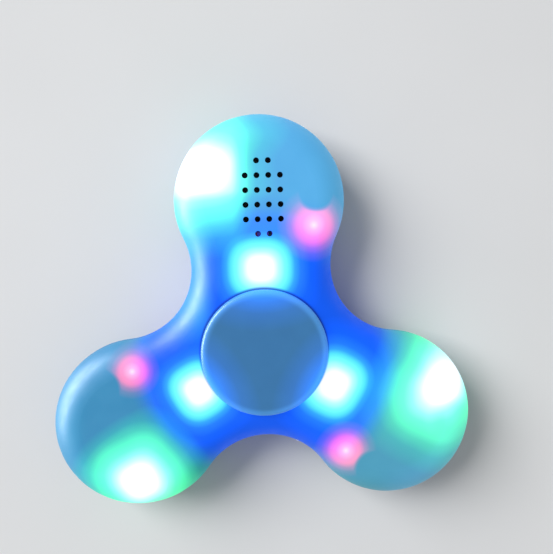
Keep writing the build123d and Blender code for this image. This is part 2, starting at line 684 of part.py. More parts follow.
with BuildPart() as battery_tape:
    add(rounded_block(arm_plane(BATTERY_ARM, BOARD_TOP), CELL_CENTRE, TAPE_SIZE, TAPE_THICKNESS))

battery_tape.part.label = "battery_tape"
export_step(battery_tape.part, "parts/battery_tape.step")


# ------------------------------------------------------------------ leads
def lead(turn, place, start, direction):
    """Wire out of a part's end wall, level along the arm, then bent down onto the board."""
    level = BOARD_TOP + LEAD_HEIGHT
    landing = start + direction * LEAD_REACH
    with BuildPart() as wire:
        with BuildLine(arm_plane(turn, 0)) as route:
            corners = ((place, start, level), (place, landing, level), (place, landing, BOARD_TOP))
            FilletPolyline(*corners, radius=LEAD_BEND)
        with BuildSketch(Plane(origin=route.line @ 0, z_dir=route.line % 0)):
            Circle(LEAD_RADIUS)
        sweep(path=route.line)
    expected = pi * LEAD_RADIUS**2 * sum(edge.length for edge in route.edges())
    print(f"lead volume {wire.part.volume:.4f}, section times length {expected:.4f}, bend {LEAD_BEND}")
    return wire.part


LEADS = []
for lead_name, lead_place in SPEAKER_LEAD_PLACES.items():
    speaker_end = SPEAKER_CENTRE[1] - SPEAKER_LENGTH / 2
    LEADS.append((lead_name, lead(SPEAKER_ARM, lead_place, speaker_end, -1)))
for lead_name, lead_place in BATTERY_LEAD_PLACES.items():
    cell_end = CELL_CENTRE[1] + CELL_LENGTH / 2
    LEADS.append((lead_name, lead(BATTERY_ARM, lead_place, cell_end, 1)))
for lead_name, lead_part in LEADS:
    lead_part.label = lead_name
    export_step(lead_part, f"parts/{lead_name}.step")

# ------------------------------------------------------------------ charging socket
socket_level = arm_plane(SOCKET_ARM, MIDDLE)
mouth_plane = Plane(
    origin=socket_level.from_local_coords((PORT_OFFSET, CAN_MOUTH, 0)),
    x_dir=socket_level.x_dir,
    z_dir=-socket_level.y_dir,
)


def can_section(inset):
    """Section of the socket's metal can, whose two lower corners are cut off."""
    half_width = CAN_WIDTH / 2 - inset
    half_height = CAN_HEIGHT / 2 - inset
    # the section is seen from outside, so its own y axis points down
    with BuildSketch(mouth_plane) as section:
        with BuildLine():
            Polyline(
                (-half_width, -half_height),
                (half_width, -half_height),
                (half_width, half_height - CAN_BEVEL),
                (half_width - CAN_BEVEL, half_height),
                (CAN_BEVEL - half_width, half_height),
                (-half_width, half_height - CAN_BEVEL),
                close=True,
            )
        make_face()
    return section.sketch


with BuildPart() as socket_can:
    extrude(can_section(0), amount=CAN_LENGTH)
    extrude(can_section(CAN_WALL), amount=CAN_LENGTH, mode=Mode.SUBTRACT)

socket_can.part.label = "socket_can"
export_step(socket_can.part, "parts/socket_can.step")

with BuildPart() as socket_tongue:
    extrude(can_section(CAN_WALL), amount=CAN_LENGTH)
    extrude(can_section(0), amount=PLUG_DEPTH, mode=Mode.SUBTRACT)
    with BuildSketch(mouth_plane.offset(PLUG_DEPTH - TONGUE_LENGTH)):
        Rectangle(TONGUE_WIDTH, TONGUE_THICKNESS)
    extrude(amount=TONGUE_LENGTH)

socket_tongue.part.label = "socket_tongue"
export_step(socket_tongue.part, "parts/socket_tongue.step")

with BuildPart() as socket_contacts:
    contact_start = PLUG_DEPTH - TONGUE_LENGTH
    with BuildSketch(mouth_plane.offset(contact_start)):
        with Locations((0, (TONGUE_THICKNESS + CONTACT_THICKNESS) / 2)):
            with GridLocations(CONTACT_PITCH, 0, CONTACT_COUNT, 1):
                Rectangle(CONTACT_WIDTH, CONTACT_THICKNESS)
    extrude(amount=TONGUE_LENGTH)

socket_contacts.part.label = "socket_contacts"
export_step(socket_contacts.part, "parts/socket_contacts.step")


# ------------------------------------------------------------------ chips and small parts
def gull_wing_chip(centre, body_length, legs_per_side):
    """Moulded chip with bent legs down both long sides, standing on the board."""
    leg_drop = SOIC_BODY_HEIGHT / 2
    leg_offset = (SOIC_SPAN - LEG_FOOT) / 2
    shin_offset = leg_offset - (LEG_FOOT - LEG_THICKNESS) / 2
    knee_length = shin_offset - SOIC_BODY_WIDTH / 2 + LEG_THICKNESS / 2
    knee_offset = SOIC_BODY_WIDTH / 2 + knee_length / 2
    with BuildPart() as chip:
        with BuildSketch(arm_plane(SOCKET_ARM, BOARD_TOP + SOIC_STANDOFF)):
            with Locations(centre):
                Rectangle(body_length, SOIC_BODY_WIDTH)
        extrude(amount=SOIC_BODY_HEIGHT)
        with BuildSketch(arm_plane(SOCKET_ARM, BOARD_TOP)):
            with Locations(centre):
                with GridLocations(SOIC_PITCH, 2 * leg_offset, legs_per_side, 2):
                    Rectangle(LEG_WIDTH, LEG_FOOT)
        extrude(amount=LEG_THICKNESS)
        with BuildSketch(arm_plane(SOCKET_ARM, BOARD_TOP)):
            with Locations(centre):
                with GridLocations(SOIC_PITCH, 2 * shin_offset, legs_per_side, 2):
                    Rectangle(LEG_WIDTH, LEG_THICKNESS)
        extrude(amount=leg_drop + LEG_THICKNESS)
        with BuildSketch(arm_plane(SOCKET_ARM, BOARD_TOP + leg_drop)):
            with Locations(centre):
                with GridLocations(SOIC_PITCH, 2 * knee_offset, legs_per_side, 2):
                    Rectangle(LEG_WIDTH, knee_length)
        extrude(amount=LEG_THICKNESS)
    return chip.part


CHIPS = {"sound_chip": SOUND_CHIP, "amplifier_chip": AMPLIFIER_CHIP, "charger_chip": CHARGER_CHIP}
for chip_name, chip_shape in CHIPS.items():
    chip_part = gull_wing_chip(*chip_shape)
    chip_part.label = chip_name
    export_step(chip_part, f"parts/{chip_name}.step")

board_face = arm_plane(SOCKET_ARM, BOARD_TOP)

with BuildPart() as crystal:
    add(rounded_block(board_face, CRYSTAL_PLACE, CRYSTAL_SIZE[:2], CRYSTAL_SIZE[2], CRYSTAL_CORNER))

crystal.part.label = "crystal"
export_step(crystal.part, "parts/crystal.step")

with BuildPart() as antenna:
    add(rounded_block(board_face, ANTENNA_PLACE, ANTENNA_SIZE[:2], ANTENNA_SIZE[2]))

antenna.part.label = "antenna"
export_step(antenna.part, "parts/antenna.step")

with BuildPart() as resistors:
    for arm_turn in ARMS.values():
        with BuildSketch(arm_plane(arm_turn, BOARD_TOP)):
            with Locations(*RESISTOR_PLACES):
                Rectangle(*RESISTOR_SIZE[:2])
        extrude(amount=RESISTOR_SIZE[2])

resistors.part.label = "resistors"
export_step(resistors.part, "parts/resistors.step")

with BuildPart() as capacitors:
    with BuildSketch(board_face):
        with Locations(*CAPACITOR_PLACES):
            Rectangle(*CAPACITOR_SIZE[:2])
    extrude(amount=CAPACITOR_SIZE[2])

capacitors.part.label = "capacitors"
export_step(capacitors.part, "parts/capacitors.step")

# ------------------------------------------------------------------ power button
flange_bottom = CAVITY_BOTTOM + FLANGE_GAP
flange_top = flange_bottom + FLANGE_THICKNESS
switch_bottom = BOARD_BOTTOM - SWITCH_HEIGHT
plunger_top = flange_top + PLUNGER_LENGTH

with BuildPart() as button_cap:
    with BuildSketch(arm_plane(SOCKET_ARM, BODY_BOTTOM - BUTTON_PROUD)):
        with Locations(BUTTON_PLACE):
            Circle(BUTTON_RADIUS)
    extrude(amount=flange_top - BODY_BOTTOM + BUTTON_PROUD)
    fillet(button_cap.edges().sort_by(Axis.Z)[0], radius=BUTTON_EDGE)
    with BuildSketch(arm_plane(SOCKET_ARM, flange_bottom)):
        with Locations(BUTTON_PLACE):
            Circle(FLANGE_RADIUS)
    extrude(amount=FLANGE_THICKNESS)

button_cap.part.label = "button_cap"
export_step(button_cap.part, "parts/button_cap.step")

with BuildPart() as switch_plunger:
    with BuildSketch(arm_plane(SOCKET_ARM, flange_top)):
        with Locations(BUTTON_PLACE):
            Circle(PLUNGER_RADIUS)
    extrude(amount=PLUNGER_LENGTH)

switch_plunger.part.label = "switch_plunger"
export_step(switch_plunger.part, "parts/switch_plunger.step")

with BuildPart() as switch_body:
    with BuildSketch(arm_plane(SOCKET_ARM, switch_bottom)):
        with Locations(BUTTON_PLACE):
            RectangleRounded(SWITCH_WIDTH, SWITCH_WIDTH, SWITCH_CORNER)
    extrude(amount=SWITCH_HEIGHT)
    with BuildSketch(arm_plane(SOCKET_ARM, switch_bottom)):
        with Locations(BUTTON_PLACE):
            Circle(SWITCH_WELL_RADIUS)
    extrude(amount=SWITCH_WELL_DEPTH, mode=Mode.SUBTRACT)

switch_body.part.label = "switch_body"
export_step(switch_body.part, "parts/switch_body.step")

# snap disc between the plunger's end and the top of the switch's well, flat in the middle
dome_centre = arm_plane(SOCKET_ARM, plunger_top).from_local_coords((*BUTTON_PLACE, 0))

with BuildPart() as switch_dome:
    with BuildSketch(Plane(origin=dome_centre, x_dir=(1, 0, 0), z_dir=(0, -1, 0))):
        with BuildLine():
            Polyline(
                (0, 0),
                (DOME_CROWN, 0),
                (DOME_RADIUS, DOME_RISE),
                (DOME_RADIUS, DOME_RISE + DOME_THICKNESS),
                (DOME_CROWN, DOME_THICKNESS),
                (0, DOME_THICKNESS),
                close=True,
            )
        make_face()
    revolve(axis=Axis(dome_centre, (0, 0, 1)))

switch_dome.part.label = "switch_dome"
export_step(switch_dome.part, "parts/switch_dome.step")
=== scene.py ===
from math import cos, pi, radians, sin

import bmesh
import bpy
from mathutils import Matrix, Vector


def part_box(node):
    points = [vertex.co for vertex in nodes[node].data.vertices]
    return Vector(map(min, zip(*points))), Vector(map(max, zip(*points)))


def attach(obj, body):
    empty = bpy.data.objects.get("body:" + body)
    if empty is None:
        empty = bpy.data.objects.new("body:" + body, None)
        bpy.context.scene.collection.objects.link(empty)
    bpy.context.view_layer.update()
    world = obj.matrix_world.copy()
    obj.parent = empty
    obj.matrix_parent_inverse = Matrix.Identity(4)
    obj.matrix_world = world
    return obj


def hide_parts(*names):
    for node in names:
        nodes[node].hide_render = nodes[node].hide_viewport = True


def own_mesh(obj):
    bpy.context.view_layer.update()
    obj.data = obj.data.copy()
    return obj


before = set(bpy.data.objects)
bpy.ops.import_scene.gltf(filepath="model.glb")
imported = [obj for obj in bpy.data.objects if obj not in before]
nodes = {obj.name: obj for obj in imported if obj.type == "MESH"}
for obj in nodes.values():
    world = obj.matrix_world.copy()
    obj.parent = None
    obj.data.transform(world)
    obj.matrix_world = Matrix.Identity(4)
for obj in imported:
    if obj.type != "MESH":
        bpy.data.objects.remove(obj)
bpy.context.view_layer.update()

# Looks for a light-up hand spinner. Lengths are in millimetres in the row frame, and MM turns them
# into Blender's metres. An arm's own frame has x across the arm and y along it, from the spin axis.
MM = 0.001
ARMS = {"speaker": 0.0, "battery": 120.0, "socket": 240.0}  # turns from +Y, in degrees
LOBE_DISTANCE = 28.6  # from the spin axis to the middle of a lobe
MIDDLE = 8.25  # height of the body's parting line
BODY_BOTTOM = 2.25
BODY_TOP = 14.25
CAP_RADIUS = 12.0
WHITE = (1.0, 1.0, 1.0)
NOISE_SPAN = (0.3, 0.7)  # where nearly all of a noise's values lie


# ------------------------------------------------------------------ node helpers
def add(tree, kind, *inputs, output=0, **settings):
    """A new node's output. The inputs are numbers, tuples or sockets, in order; None leaves one."""
    made = tree.nodes.new(kind)
    for name, value in settings.items():
        setattr(made, name, value)
    for socket, value in zip(made.inputs, inputs):
        if isinstance(value, bpy.types.NodeSocket):
            tree.links.new(value, socket)
        elif value is not None:
            socket.default_value = value
    return made.outputs[output]


def math(tree, operation, *inputs, clamp=False):
    return add(tree, "ShaderNodeMath", *inputs, operation=operation, use_clamp=clamp)


def vector(tree, operation, *inputs, output=0):
    return add(tree, "ShaderNodeVectorMath", *inputs, operation=operation, output=output)


def parts_of(tree, where):
    """The x, y and z of a position."""
    split = tree.nodes.new("ShaderNodeSeparateXYZ")
    tree.links.new(where, split.inputs[0])
    return tuple(split.outputs)


def mix(tree, factor, a, b, blend="MIX"):
    """Colours a and b blended by a factor."""
    made = tree.nodes.new("ShaderNodeMix")
    made.data_type = "RGBA"
    made.blend_type = blend
    for socket, value in zip((made.inputs[0], made.inputs[6], made.inputs[7]), (factor, a, b)):
        if isinstance(value, bpy.types.NodeSocket):
            tree.links.new(value, socket)
        elif isinstance(value, tuple):
            socket.default_value = (*value, 1.0)
        else:
            socket.default_value = value
    return made.outputs[2]


def ramp(tree, factor, stops):
    """A colour ramp over (position, colour) stops."""
    made = tree.nodes.new("ShaderNodeValToRGB")
    elements = made.color_ramp.elements
    while len(elements) < len(stops):
        elements.new(1.0)
    for element, (position, colour) in zip(elements, stops):
        element.position = position
        element.color = (*colour, 1.0)
    tree.links.new(factor, made.inputs[0])
    return made.outputs[0]


def noise(tree, where, scale, detail=3.0):
    """Noise with features about 1/scale of the unit of where."""
    made = tree.nodes.new("ShaderNodeTexNoise")
    made.inputs["Scale"].default_value = scale
    made.inputs["Detail"].default_value = detail
    tree.links.new(where, made.inputs["Vector"])
    return made.outputs[0]


def span(tree, value, low, high, to_low=0.0, to_high=1.0, smooth=False):
    """value carried from low..high to to_low..to_high, held at the ends."""
    made = tree.nodes.new("ShaderNodeMapRange")
    made.interpolation_type = "SMOOTHSTEP" if smooth else "LINEAR"
    for socket, number in zip(made.inputs, (value, low, high, to_low, to_high)):
        if isinstance(number, bpy.types.NodeSocket):
            tree.links.new(number, socket)
        else:
            socket.default_value = number
    return made.outputs[0]


def new_look(name, colour, roughness, metallic=0.0, **sockets):
    """A material: (material, tree, shader, coordinates in millimetres)."""
    material = bpy.data.materials.new(name)
    material.use_nodes = True
    tree = material.node_tree
    shader = tree.nodes["Principled BSDF"]
    shader.inputs["Base Color"].default_value = (*colour, 1.0)
    shader.inputs["Roughness"].default_value = roughness
    shader.inputs["Metallic"].default_value = metallic
    for socket, value in sockets.items():
        shader.inputs[socket.replace("_", " ")].default_value = value
    metres = tree.nodes.new("ShaderNodeTexCoord").outputs["Object"]
    return material, tree, shader, vector(tree, "SCALE", metres, None, None, 1 / MM)


def emit(tree, shader, light, strength=1.0):
    """Makes the surface shine with the light's colour."""
    tree.links.new(light, shader.inputs["Emission Color"])
    shader.inputs["Emission Strength"].default_value = strength


def bump(tree, shader, height, distance):
    """Raises the surface by distance millimetres where height is 1."""
    made = tree.nodes.new("ShaderNodeBump")
    made.inputs["Strength"].default_value = 1.0
    made.inputs["Distance"].default_value = distance * MM
    tree.links.new(height, made.inputs["Height"])
    tree.links.new(made.outputs[0], shader.inputs["Normal"])


def wear(tree, shader, where, roughness, spread, scale):
    """Roughness that wanders by spread each way."""
    wander = span(tree, noise(tree, where, scale), *NOISE_SPAN, roughness - spread, roughness + spread)
    tree.links.new(wander, shader.inputs["Roughness"])


def paint(material, *names):
    """Gives CAD nodes a material."""
    for name in names:
        for slot in nodes[name].material_slots:
            slot.material = material


# ------------------------------------------------------------------ the lit translucent plastic
PLASTIC = (0.045, 0.19, 0.42)
PAINTED_BLUE_LIGHT_PLASTIC = (0.0, 0.04, 0.38)  # base colour round the hub: painted light of the blue lamps, deepening it to a saturated blue
SHELL_ROUGHNESS = 0.52
CAP_ROUGHNESS = 0.42
PLASTIC_SPECULAR = 0.34
LAMP_TOP = 9.0  # height
# each glow's colours, by distance from its lamp
GLOW_SPAN = 18.0  # the distance that a glow's whole ramp covers
BLUE_GLOW = (
    (0.0, (1.0, 1.0, 1.0)),
    (2.4, (1.0, 1.0, 1.0)),
    (3.3, (0.52, 1.0, 1.0)),
    (4.4, (0.2, 1.0, 1.0)),
    (5.5, (0.09, 0.72, 1.0)),
    (6.3, (0.03, 0.3, 0.9)),
    (7.4, (0.01, 0.1, 0.55)),
    (9.2, (0.0, 0.02, 0.22)),
    (12.0, (0.0, 0.0, 0.0)),
)
GREEN_GLOW = (
    (0.0, (1.0, 1.0, 1.0)),
    (3.6, (1.0, 1.0, 1.0)),
    (4.6, (0.6, 1.0, 0.9)),
    (5.8, (0.27, 1.0, 0.5)),
    (7.2, (0.1, 0.95, 0.28)),
    (8.6, (0.06, 0.75, 0.16)),
    (10.2, (0.02, 0.38, 0.05)),
    (12.2, (0.0, 0.14, 0.02)),
    (15.5, (0.0, 0.0, 0.0)),
)
RED_GLOW = (
    (0.0, (1.0, 0.6, 0.6)),
    (0.8, (1.0, 0.26, 0.32)),
    (2.0, (1.0, 0.06, 0.15)),
    (2.9, (0.85, 0.02, 0.08)),
    (3.8, (0.34, 0.0, 0.04)),
    (4.8, (0.10, 0.0, 0.01)),
    (6.2, (0.0, 0.0, 0.0)),
)
# where each arm's glows lie from their lamps, and how far they are drawn out, across and along it
BLUE_SHIFT = {"speaker": (-0.3, 0.1), "battery": (0.2, -1.2), "socket": (-0.6, -0.8)}
BLUE_STRETCH = {"speaker": (1.02, 0.95), "battery": (0.94, 0.86), "socket": (1.06, 0.98)}
GREEN_SHIFT = {"speaker": (-1.3, 1.1), "battery": (0.6, 0.5), "socket": (-0.8, 1.0)}
GREEN_STRETCH = {"speaker": (1.3, 1.1), "battery": (0.92, 0.89), "socket": (1.15, 0.97)}
RED_SHIFT = {"speaker": (0.1, 0.6), "battery": (0.2, 0.0), "socket": (0.0, 0.2)}
RED_STRETCH = {"speaker": 1.14, "battery": 0.86, "socket": 0.98}
# the even light of each lobe, of the rims of two, and of the hub
LOBE_WASH = {
    "speaker": (0.055, 0.26, 0.42),
    "battery": (0.003, 0.09, 0.10),
    "socket": (0.035, 0.17, 0.12),
}
RIM_WASH = {"battery": (0.0, 0.05, 0.07), "socket": (0.03, 0.05, 0.15)}
RIM_START, RIM_FULL = 8.5, 13.5  # from the middle of a lobe
HUB_WASH = (0.0, 0.07, 0.58)
# distances from the spin axis between which the hub's light gives way to each lobe's
HUB_REACH = {"speaker": (18.5, 31.0), "battery": (20.5, 27.0), "socket": (20.5, 29.0)}
PIPED_LIGHT = (0.02, 0.26, 0.14)  # from the green lamp, down the wall of the speaker's neck
SQUARENESS = 2.6  # of the blue and green lamps' glows: 2 is round
# what stands in a glow's way, in each arm's own frame; a shade counts as so much more distance
POST = (10.4, 29.3)  # screw post
POST_RADIUS = 2.9
POST_SHADE = 3.4
SPEAKER_SIDE = -3.4  # the speaker's edge across its arm
SPEAKER_FOOT = 29.6
SPEAKER_SHADE, SPEAKER_END_SHADE = 4.6, 1.6  # at its middle and at its far end
FOOT_SHADE = 0.9
CAN_CORNER = (-5.6, 38.6)  # of the charging socket
CAN_SHADE = 1.4
CELL_EDGE = (8.5, 13.0)  # of the battery, across its arm and a little aslant
CELL_SLANT = 0.25
CELL_SHADE = 2.0
RIPPLE = 0.3  # unevenness of the green glows' edges, each way
# where less of the light shows: a shade is the share taken away, a light the share left
POCKET_RADIUS = 10.4  # of the room inside a lobe
POCKET_SHADE = 0.97  # on that room's walls
GAP_LIGHT = 0.12  # in the gap under the finger caps
UNDERSIDE_LIGHT = 0.3
SEAM_LIGHT = 0.3  # in the groove at the parting line
SEAM_HALF_WIDTH = 0.11
# light of the blue lamps on the finger caps, by share of CAP_PATCH_REACH
CAP_PATCH_REACH = 12.0
CAP_PATCH = (
    (0.0, (0.0, 0.22, 1.0)),
    (0.3, (0.0, 0.14, 0.8)),
    (0.45, (0.0, 0.06, 0.5)),
    (0.62, (0.0, 0.015, 0.16)),
    (0.9, (0.0, 0.0, 0.0)),
)
CAP_RIM_LIGHT = (0.04, 0.14, 0.34)


def arm_axes(arm):
    """(across, along) unit vectors of an arm in the row frame."""
    turn = radians(ARMS[arm])
    return Vector((cos(turn), sin(turn), 0)), Vector((-sin(turn), cos(turn), 0))


def arm_coordinates(tree, where, arm):
    """where in an arm's own frame: x across it, y along it."""
    across, along = arm_axes(arm)
    x = vector(tree, "DOT_PRODUCT", where, tuple(across), output=1)
    y = vector(tree, "DOT_PRODUCT", where, tuple(along), output=1)
    return x, y


def lamp_place(colour, arm, shift=(0.0, 0.0)):
    """A lamp's place across and along its arm, in millimetres, moved by shift."""
    low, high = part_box(f"lamp_{colour}_{arm}")
    middle = (low + high) / 2 / MM
    across, along = arm_axes(arm)
    return middle.dot(across) + shift[0], middle.dot(along) + shift[1]


def soft_step(tree, value, edge, softness):
    """0 below the edge, 1 above it."""
    return span(tree, value, edge - softness, edge + softness, smooth=True)


def flat_distance(tree, x, y, centre, stretch=(1.0, 1.0)):
    """Distance from a centre in plan, with circles drawn out into ellipses by the stretch."""
    dx = math(tree, "DIVIDE", math(tree, "SUBTRACT", x, centre[0]), stretch[0])
    dy = math(tree, "DIVIDE", math(tree, "SUBTRACT", y, centre[1]), stretch[1])
    return vector(tree, "LENGTH", add(tree, "ShaderNodeCombineXYZ", dx, dy, 0.0), output=1)


def square_distance(tree, x, y, centre, stretch):
    """Like flat_distance, but its circles are squares with round corners."""
    powers = []
    for value, middle, size in zip((x, y), centre, stretch):
        offset = math(tree, "DIVIDE", math(tree, "SUBTRACT", value, middle), size)
        powers.append(math(tree, "POWER", math(tree, "ABSOLUTE", offset), SQUARENESS))
    return math(tree, "POWER", math(tree, "ADD", *powers), 1 / SQUARENESS)


def glow(tree, distance, depth, stops, further=None):
    """The light a lamp throws on the plastic. What is in its way adds to the distance."""
    total = vector(tree, "LENGTH", add(tree, "ShaderNodeCombineXYZ", distance, depth, 0.0), output=1)
    if further is not None:
        total = math(tree, "ADD", total, further)
    factor = math(tree, "DIVIDE", total, GLOW_SPAN, clamp=True)
    return ramp(tree, factor, [(r / GLOW_SPAN, c) for r, c in stops])


def in_green_light(tree, arm, x, y):
    """What stands in the way of an arm's green lamp, as millimetres of distance."""
    if arm == "speaker":
        deep = span(tree, y, 35.0, 42.0, SPEAKER_SHADE, SPEAKER_END_SHADE, smooth=True)
        over = span(tree, x, SPEAKER_SIDE - 2.2, SPEAKER_SIDE + 3.0, smooth=True)
        below = span(tree, y, SPEAKER_FOOT - 1.0, SPEAKER_FOOT + 1.0, FOOT_SHADE, 0.0, smooth=True)
        return math(tree, "ADD", math(tree, "MULTIPLY", deep, over), below)
    if arm == "socket":
        corner = flat_distance(tree, x, y, CAN_CORNER)
        return span(tree, corner, 1.6, 5.2, CAN_SHADE, 0.0, smooth=True)
    beside = math(tree, "ADD", x, math(tree, "MULTIPLY", y, CELL_SLANT))
    return span(tree, beside, *CELL_EDGE, 0.0, CELL_SHADE, smooth=True)


def inner_height(tree, height):
    """1 between the shells' two flat faces, 0 on them."""
    above = span(tree, height, BODY_BOTTOM + 0.08, BODY_BOTTOM + 0.2)
    below = span(tree, height, BODY_TOP - 0.2, BODY_TOP - 0.08, 1.0, 0.0)
    return math(tree, "MULTIPLY", above, below)


def under_cap(tree, out):
    """The share of the light left near the finger caps, least in the gap under them."""
    return span(tree, out, CAP_RADIUS + 0.05, CAP_RADIUS + 0.6, GAP_LIGHT, 1.0, smooth=True)


def lamp_lights(tree, arm, x, y, depth, ripple):
    """The glows of an arm's three lamps: blue, red and green."""
    place = lamp_place("blue", arm, BLUE_SHIFT[arm])
    blue = square_distance(tree, x, y, place, BLUE_STRETCH[arm])
    place = lamp_place("red", arm, RED_SHIFT[arm])
    red = flat_distance(tree, x, y, place, (RED_STRETCH[arm],) * 2)
    place = lamp_place("green", arm, GREEN_SHIFT[arm])
    green = square_distance(tree, x, y, place, GREEN_STRETCH[arm])
    post = flat_distance(tree, x, y, POST)
    shaded = span(tree, post, POST_RADIUS - 1.0, POST_RADIUS + 0.6, POST_SHADE, 0.0, smooth=True)
    hidden = math(tree, "ADD", in_green_light(tree, arm, x, y), ripple)
    return [
        glow(tree, blue, depth, BLUE_GLOW),
        glow(tree, red, depth, RED_GLOW, shaded),
        glow(tree, green, depth, GREEN_GLOW, hidden),
    ]


def rim_light(tree, arm, x, y, from_middle):
    """The light in the outer rim of a lobe."""
    rim = span(tree, from_middle, RIM_START, RIM_FULL, smooth=True)
    rim = math(tree, "MULTIPLY", rim, soft_step(tree, y, 35.0, 5.0))
    return vector(tree, "SCALE", RIM_WASH[arm], None, None, rim)


def neck_light(tree, x, y):
    """The light in the wall at one side of the speaker's neck."""
    beside = math(tree, "MULTIPLY", span(tree, x, -8.5, -12.8, smooth=True), soft_step(tree, y, 5.0, 5.0))
    piped = math(tree, "MULTIPLY", beside, span(tree, y, 17.0, 28.0, 1.0, 0.0, smooth=True))
    return vector(tree, "SCALE", PIPED_LIGHT, None, None, piped)


def shell_light(tree, where):
    """(all the light that shows through the shells, how far a point belongs to the hub)."""
    plan_x, plan_y, height = parts_of(tree, where)
    out = flat_distance(tree, plan_x, plan_y, (0.0, 0.0))
    depth = math(tree, "MAXIMUM", math(tree, "SUBTRACT", LAMP_TOP, height), 0.0)
    ripple = span(tree, noise(tree, where, 0.12, 1.0), *NOISE_SPAN, -RIPPLE, RIPPLE)
    hub = 1.0
    outside = 1.0
    light = None
    for arm in ARMS:
        x, y = arm_coordinates(tree, where, arm)
        in_arm = soft_step(tree, y, 9.0, 4.0)
        lobe = math(tree, "MULTIPLY", in_arm, span(tree, out, *HUB_REACH[arm], smooth=True))
        hub = math(tree, "SUBTRACT", hub, lobe)
        from_middle = flat_distance(tree, x, y, (0.0, LOBE_DISTANCE))
        within = span(tree, from_middle, POCKET_RADIUS - 0.6, POCKET_RADIUS, 1.0, 0.0)
        hollow = math(tree, "MULTIPLY", within, inner_height(tree, height))
        outside = math(tree, "SUBTRACT", outside, math(tree, "MULTIPLY", hollow, POCKET_SHADE))
        parts = [vector(tree, "SCALE", LOBE_WASH[arm], None, None, lobe)]
        if arm in RIM_WASH:
            parts.append(rim_light(tree, arm, x, y, from_middle))
        parts += lamp_lights(tree, arm, x, y, depth, ripple)
        if arm == "speaker":
            parts.append(neck_light(tree, x, y))
        for part in parts:
            light = part if light is None else vector(tree, "ADD", light, part)
    light = vector(tree, "ADD", light, vector(tree, "SCALE", HUB_WASH, None, None, hub))
    under = span(tree, height, MIDDLE - 4.0, MIDDLE + 1.0, UNDERSIDE_LIGHT, 1.0, smooth=True)
    from_seam = math(tree, "ABSOLUTE", math(tree, "SUBTRACT", height, MIDDLE))
    seam = span(tree, from_seam, SEAM_HALF_WIDTH, SEAM_HALF_WIDTH + 0.03, SEAM_LIGHT, 1.0)
    lit = math(tree, "MULTIPLY", under, seam)
    for number in (outside, under_cap(tree, out)):
        lit = math(tree, "MULTIPLY", lit, number)
    light = vector(tree, "MINIMUM", light, WHITE)
    return vector(tree, "SCALE", light, None, None, lit), hub


def lit_plastic(name, roughness):
    """A new look of the plastic that the shells and the finger caps share."""
    return new_look(name, PLASTIC, roughness, Specular_IOR_Level=PLASTIC_SPECULAR)


def shell_look():
    """Cloudy blue plastic, lit from inside by the nine lamps, with their blue light also painted into its
    base colour round the hub.
    """
    material, tree, shader, where = lit_plastic("lit_shell_plastic", SHELL_ROUGHNESS)
    light, hub = shell_light(tree, where)
    cloud = span(tree, noise(tree, where, 0.18, 2.0), 0.35, 0.65)
    # painted light: the base colour turns deep blue round the hub, where the blue lamps' light is
    # strongest
    base = mix(tree, hub, PLASTIC, PAINTED_BLUE_LIGHT_PLASTIC)
    base = mix(tree, cloud, base, mix(tree, 1.0, base, (0.88, 0.92, 0.96), "MULTIPLY"))
    tree.links.new(base, shader.inputs["Base Color"])
    emit(tree, shader, light)
    wear(tree, shader, where, SHELL_ROUGHNESS, 0.05, 0.6)
    waves = math(tree, "MULTIPLY", noise(tree, where, 0.25, 1.0), 6.0)
    bump(tree, shader, math(tree, "ADD", noise(tree, where, 3.0, 2.0), waves), 0.004)
    return material


def cap_look():
    """The same plastic, with the blue lamps' light in its rim."""
    material, tree, shader, where = lit_plastic("cap_plastic_moulded", CAP_ROUGHNESS)
    plan_x, plan_y, height = parts_of(tree, where)
    out = flat_distance(tree, plan_x, plan_y, (0.0, 0.0))
    rim = span(tree, out, CAP_RADIUS - 1.6, CAP_RADIUS - 0.2, smooth=True)
    light = vector(tree, "SCALE", CAP_RIM_LIGHT, None, None, rim)
    for arm in ARMS:
        x, y = arm_coordinates(tree, where, arm)
        away = flat_distance(tree, x, y, lamp_place("blue", arm, (0.0, -0.8)), (1.5, 1.0))
        patch = ramp(tree, math(tree, "DIVIDE", away, CAP_PATCH_REACH, clamp=True), CAP_PATCH)
        light = vector(tree, "ADD", light, patch)
    # painted shade: the lamps' painted light on the caps fades towards the lower cap
    upper = span(tree, height, 1.0, 15.5, 0.12, 1.0)
    light = vector(tree, "SCALE", light, None, None, upper)
    emit(tree, shader, vector(tree, "MINIMUM", light, WHITE))
    cloud = span(tree, noise(tree, where, 0.2, 2.0), 0.35, 0.65)
    tree.links.new(mix(tree, cloud, PLASTIC, (0.042, 0.18, 0.4)), shader.inputs["Base Color"])
    wear(tree, shader, where, CAP_ROUGHNESS, 0.05, 0.8)
    bump(tree, shader, noise(tree, where, 1.2, 1.0), 0.002)
    return material


def plain_plastic(name, colour, roughness, grain=5.0, depth=0.01):
    """Moulded plastic of one colour, a little cloudy, with a fine grain."""
    material, tree, shader, where = new_look(name, colour, roughness)
    darker = tuple(0.8 * c for c in colour)
    tree.links.new(mix(tree, noise(tree, where, 0.9), darker, colour), shader.inputs["Base Color"])
    wear(tree, shader, where, roughness, 0.06, 1.5)
    bump(tree, shader, noise(tree, where, grain, 4.0), depth)
    return material


def metal(name, colour, roughness, stretch=(1.0, 1.0, 1.0), scale=4.0, depth=0.004):
    """Bare or plated metal with fine tool marks drawn out along one axis."""
    material, tree, shader, where = new_look(name, colour, roughness, metallic=1.0)
    lines = noise(tree, vector(tree, "MULTIPLY", where, stretch), scale, 5.0)
    darker = tuple(0.75 * c for c in colour)
    tree.links.new(mix(tree, lines, darker, colour), shader.inputs["Base Color"])
    streaks = span(tree, lines, *NOISE_SPAN, roughness - 0.07, roughness + 0.1)
    tree.links.new(streaks, shader.inputs["Roughness"])
    bump(tree, shader, lines, depth)
    return material


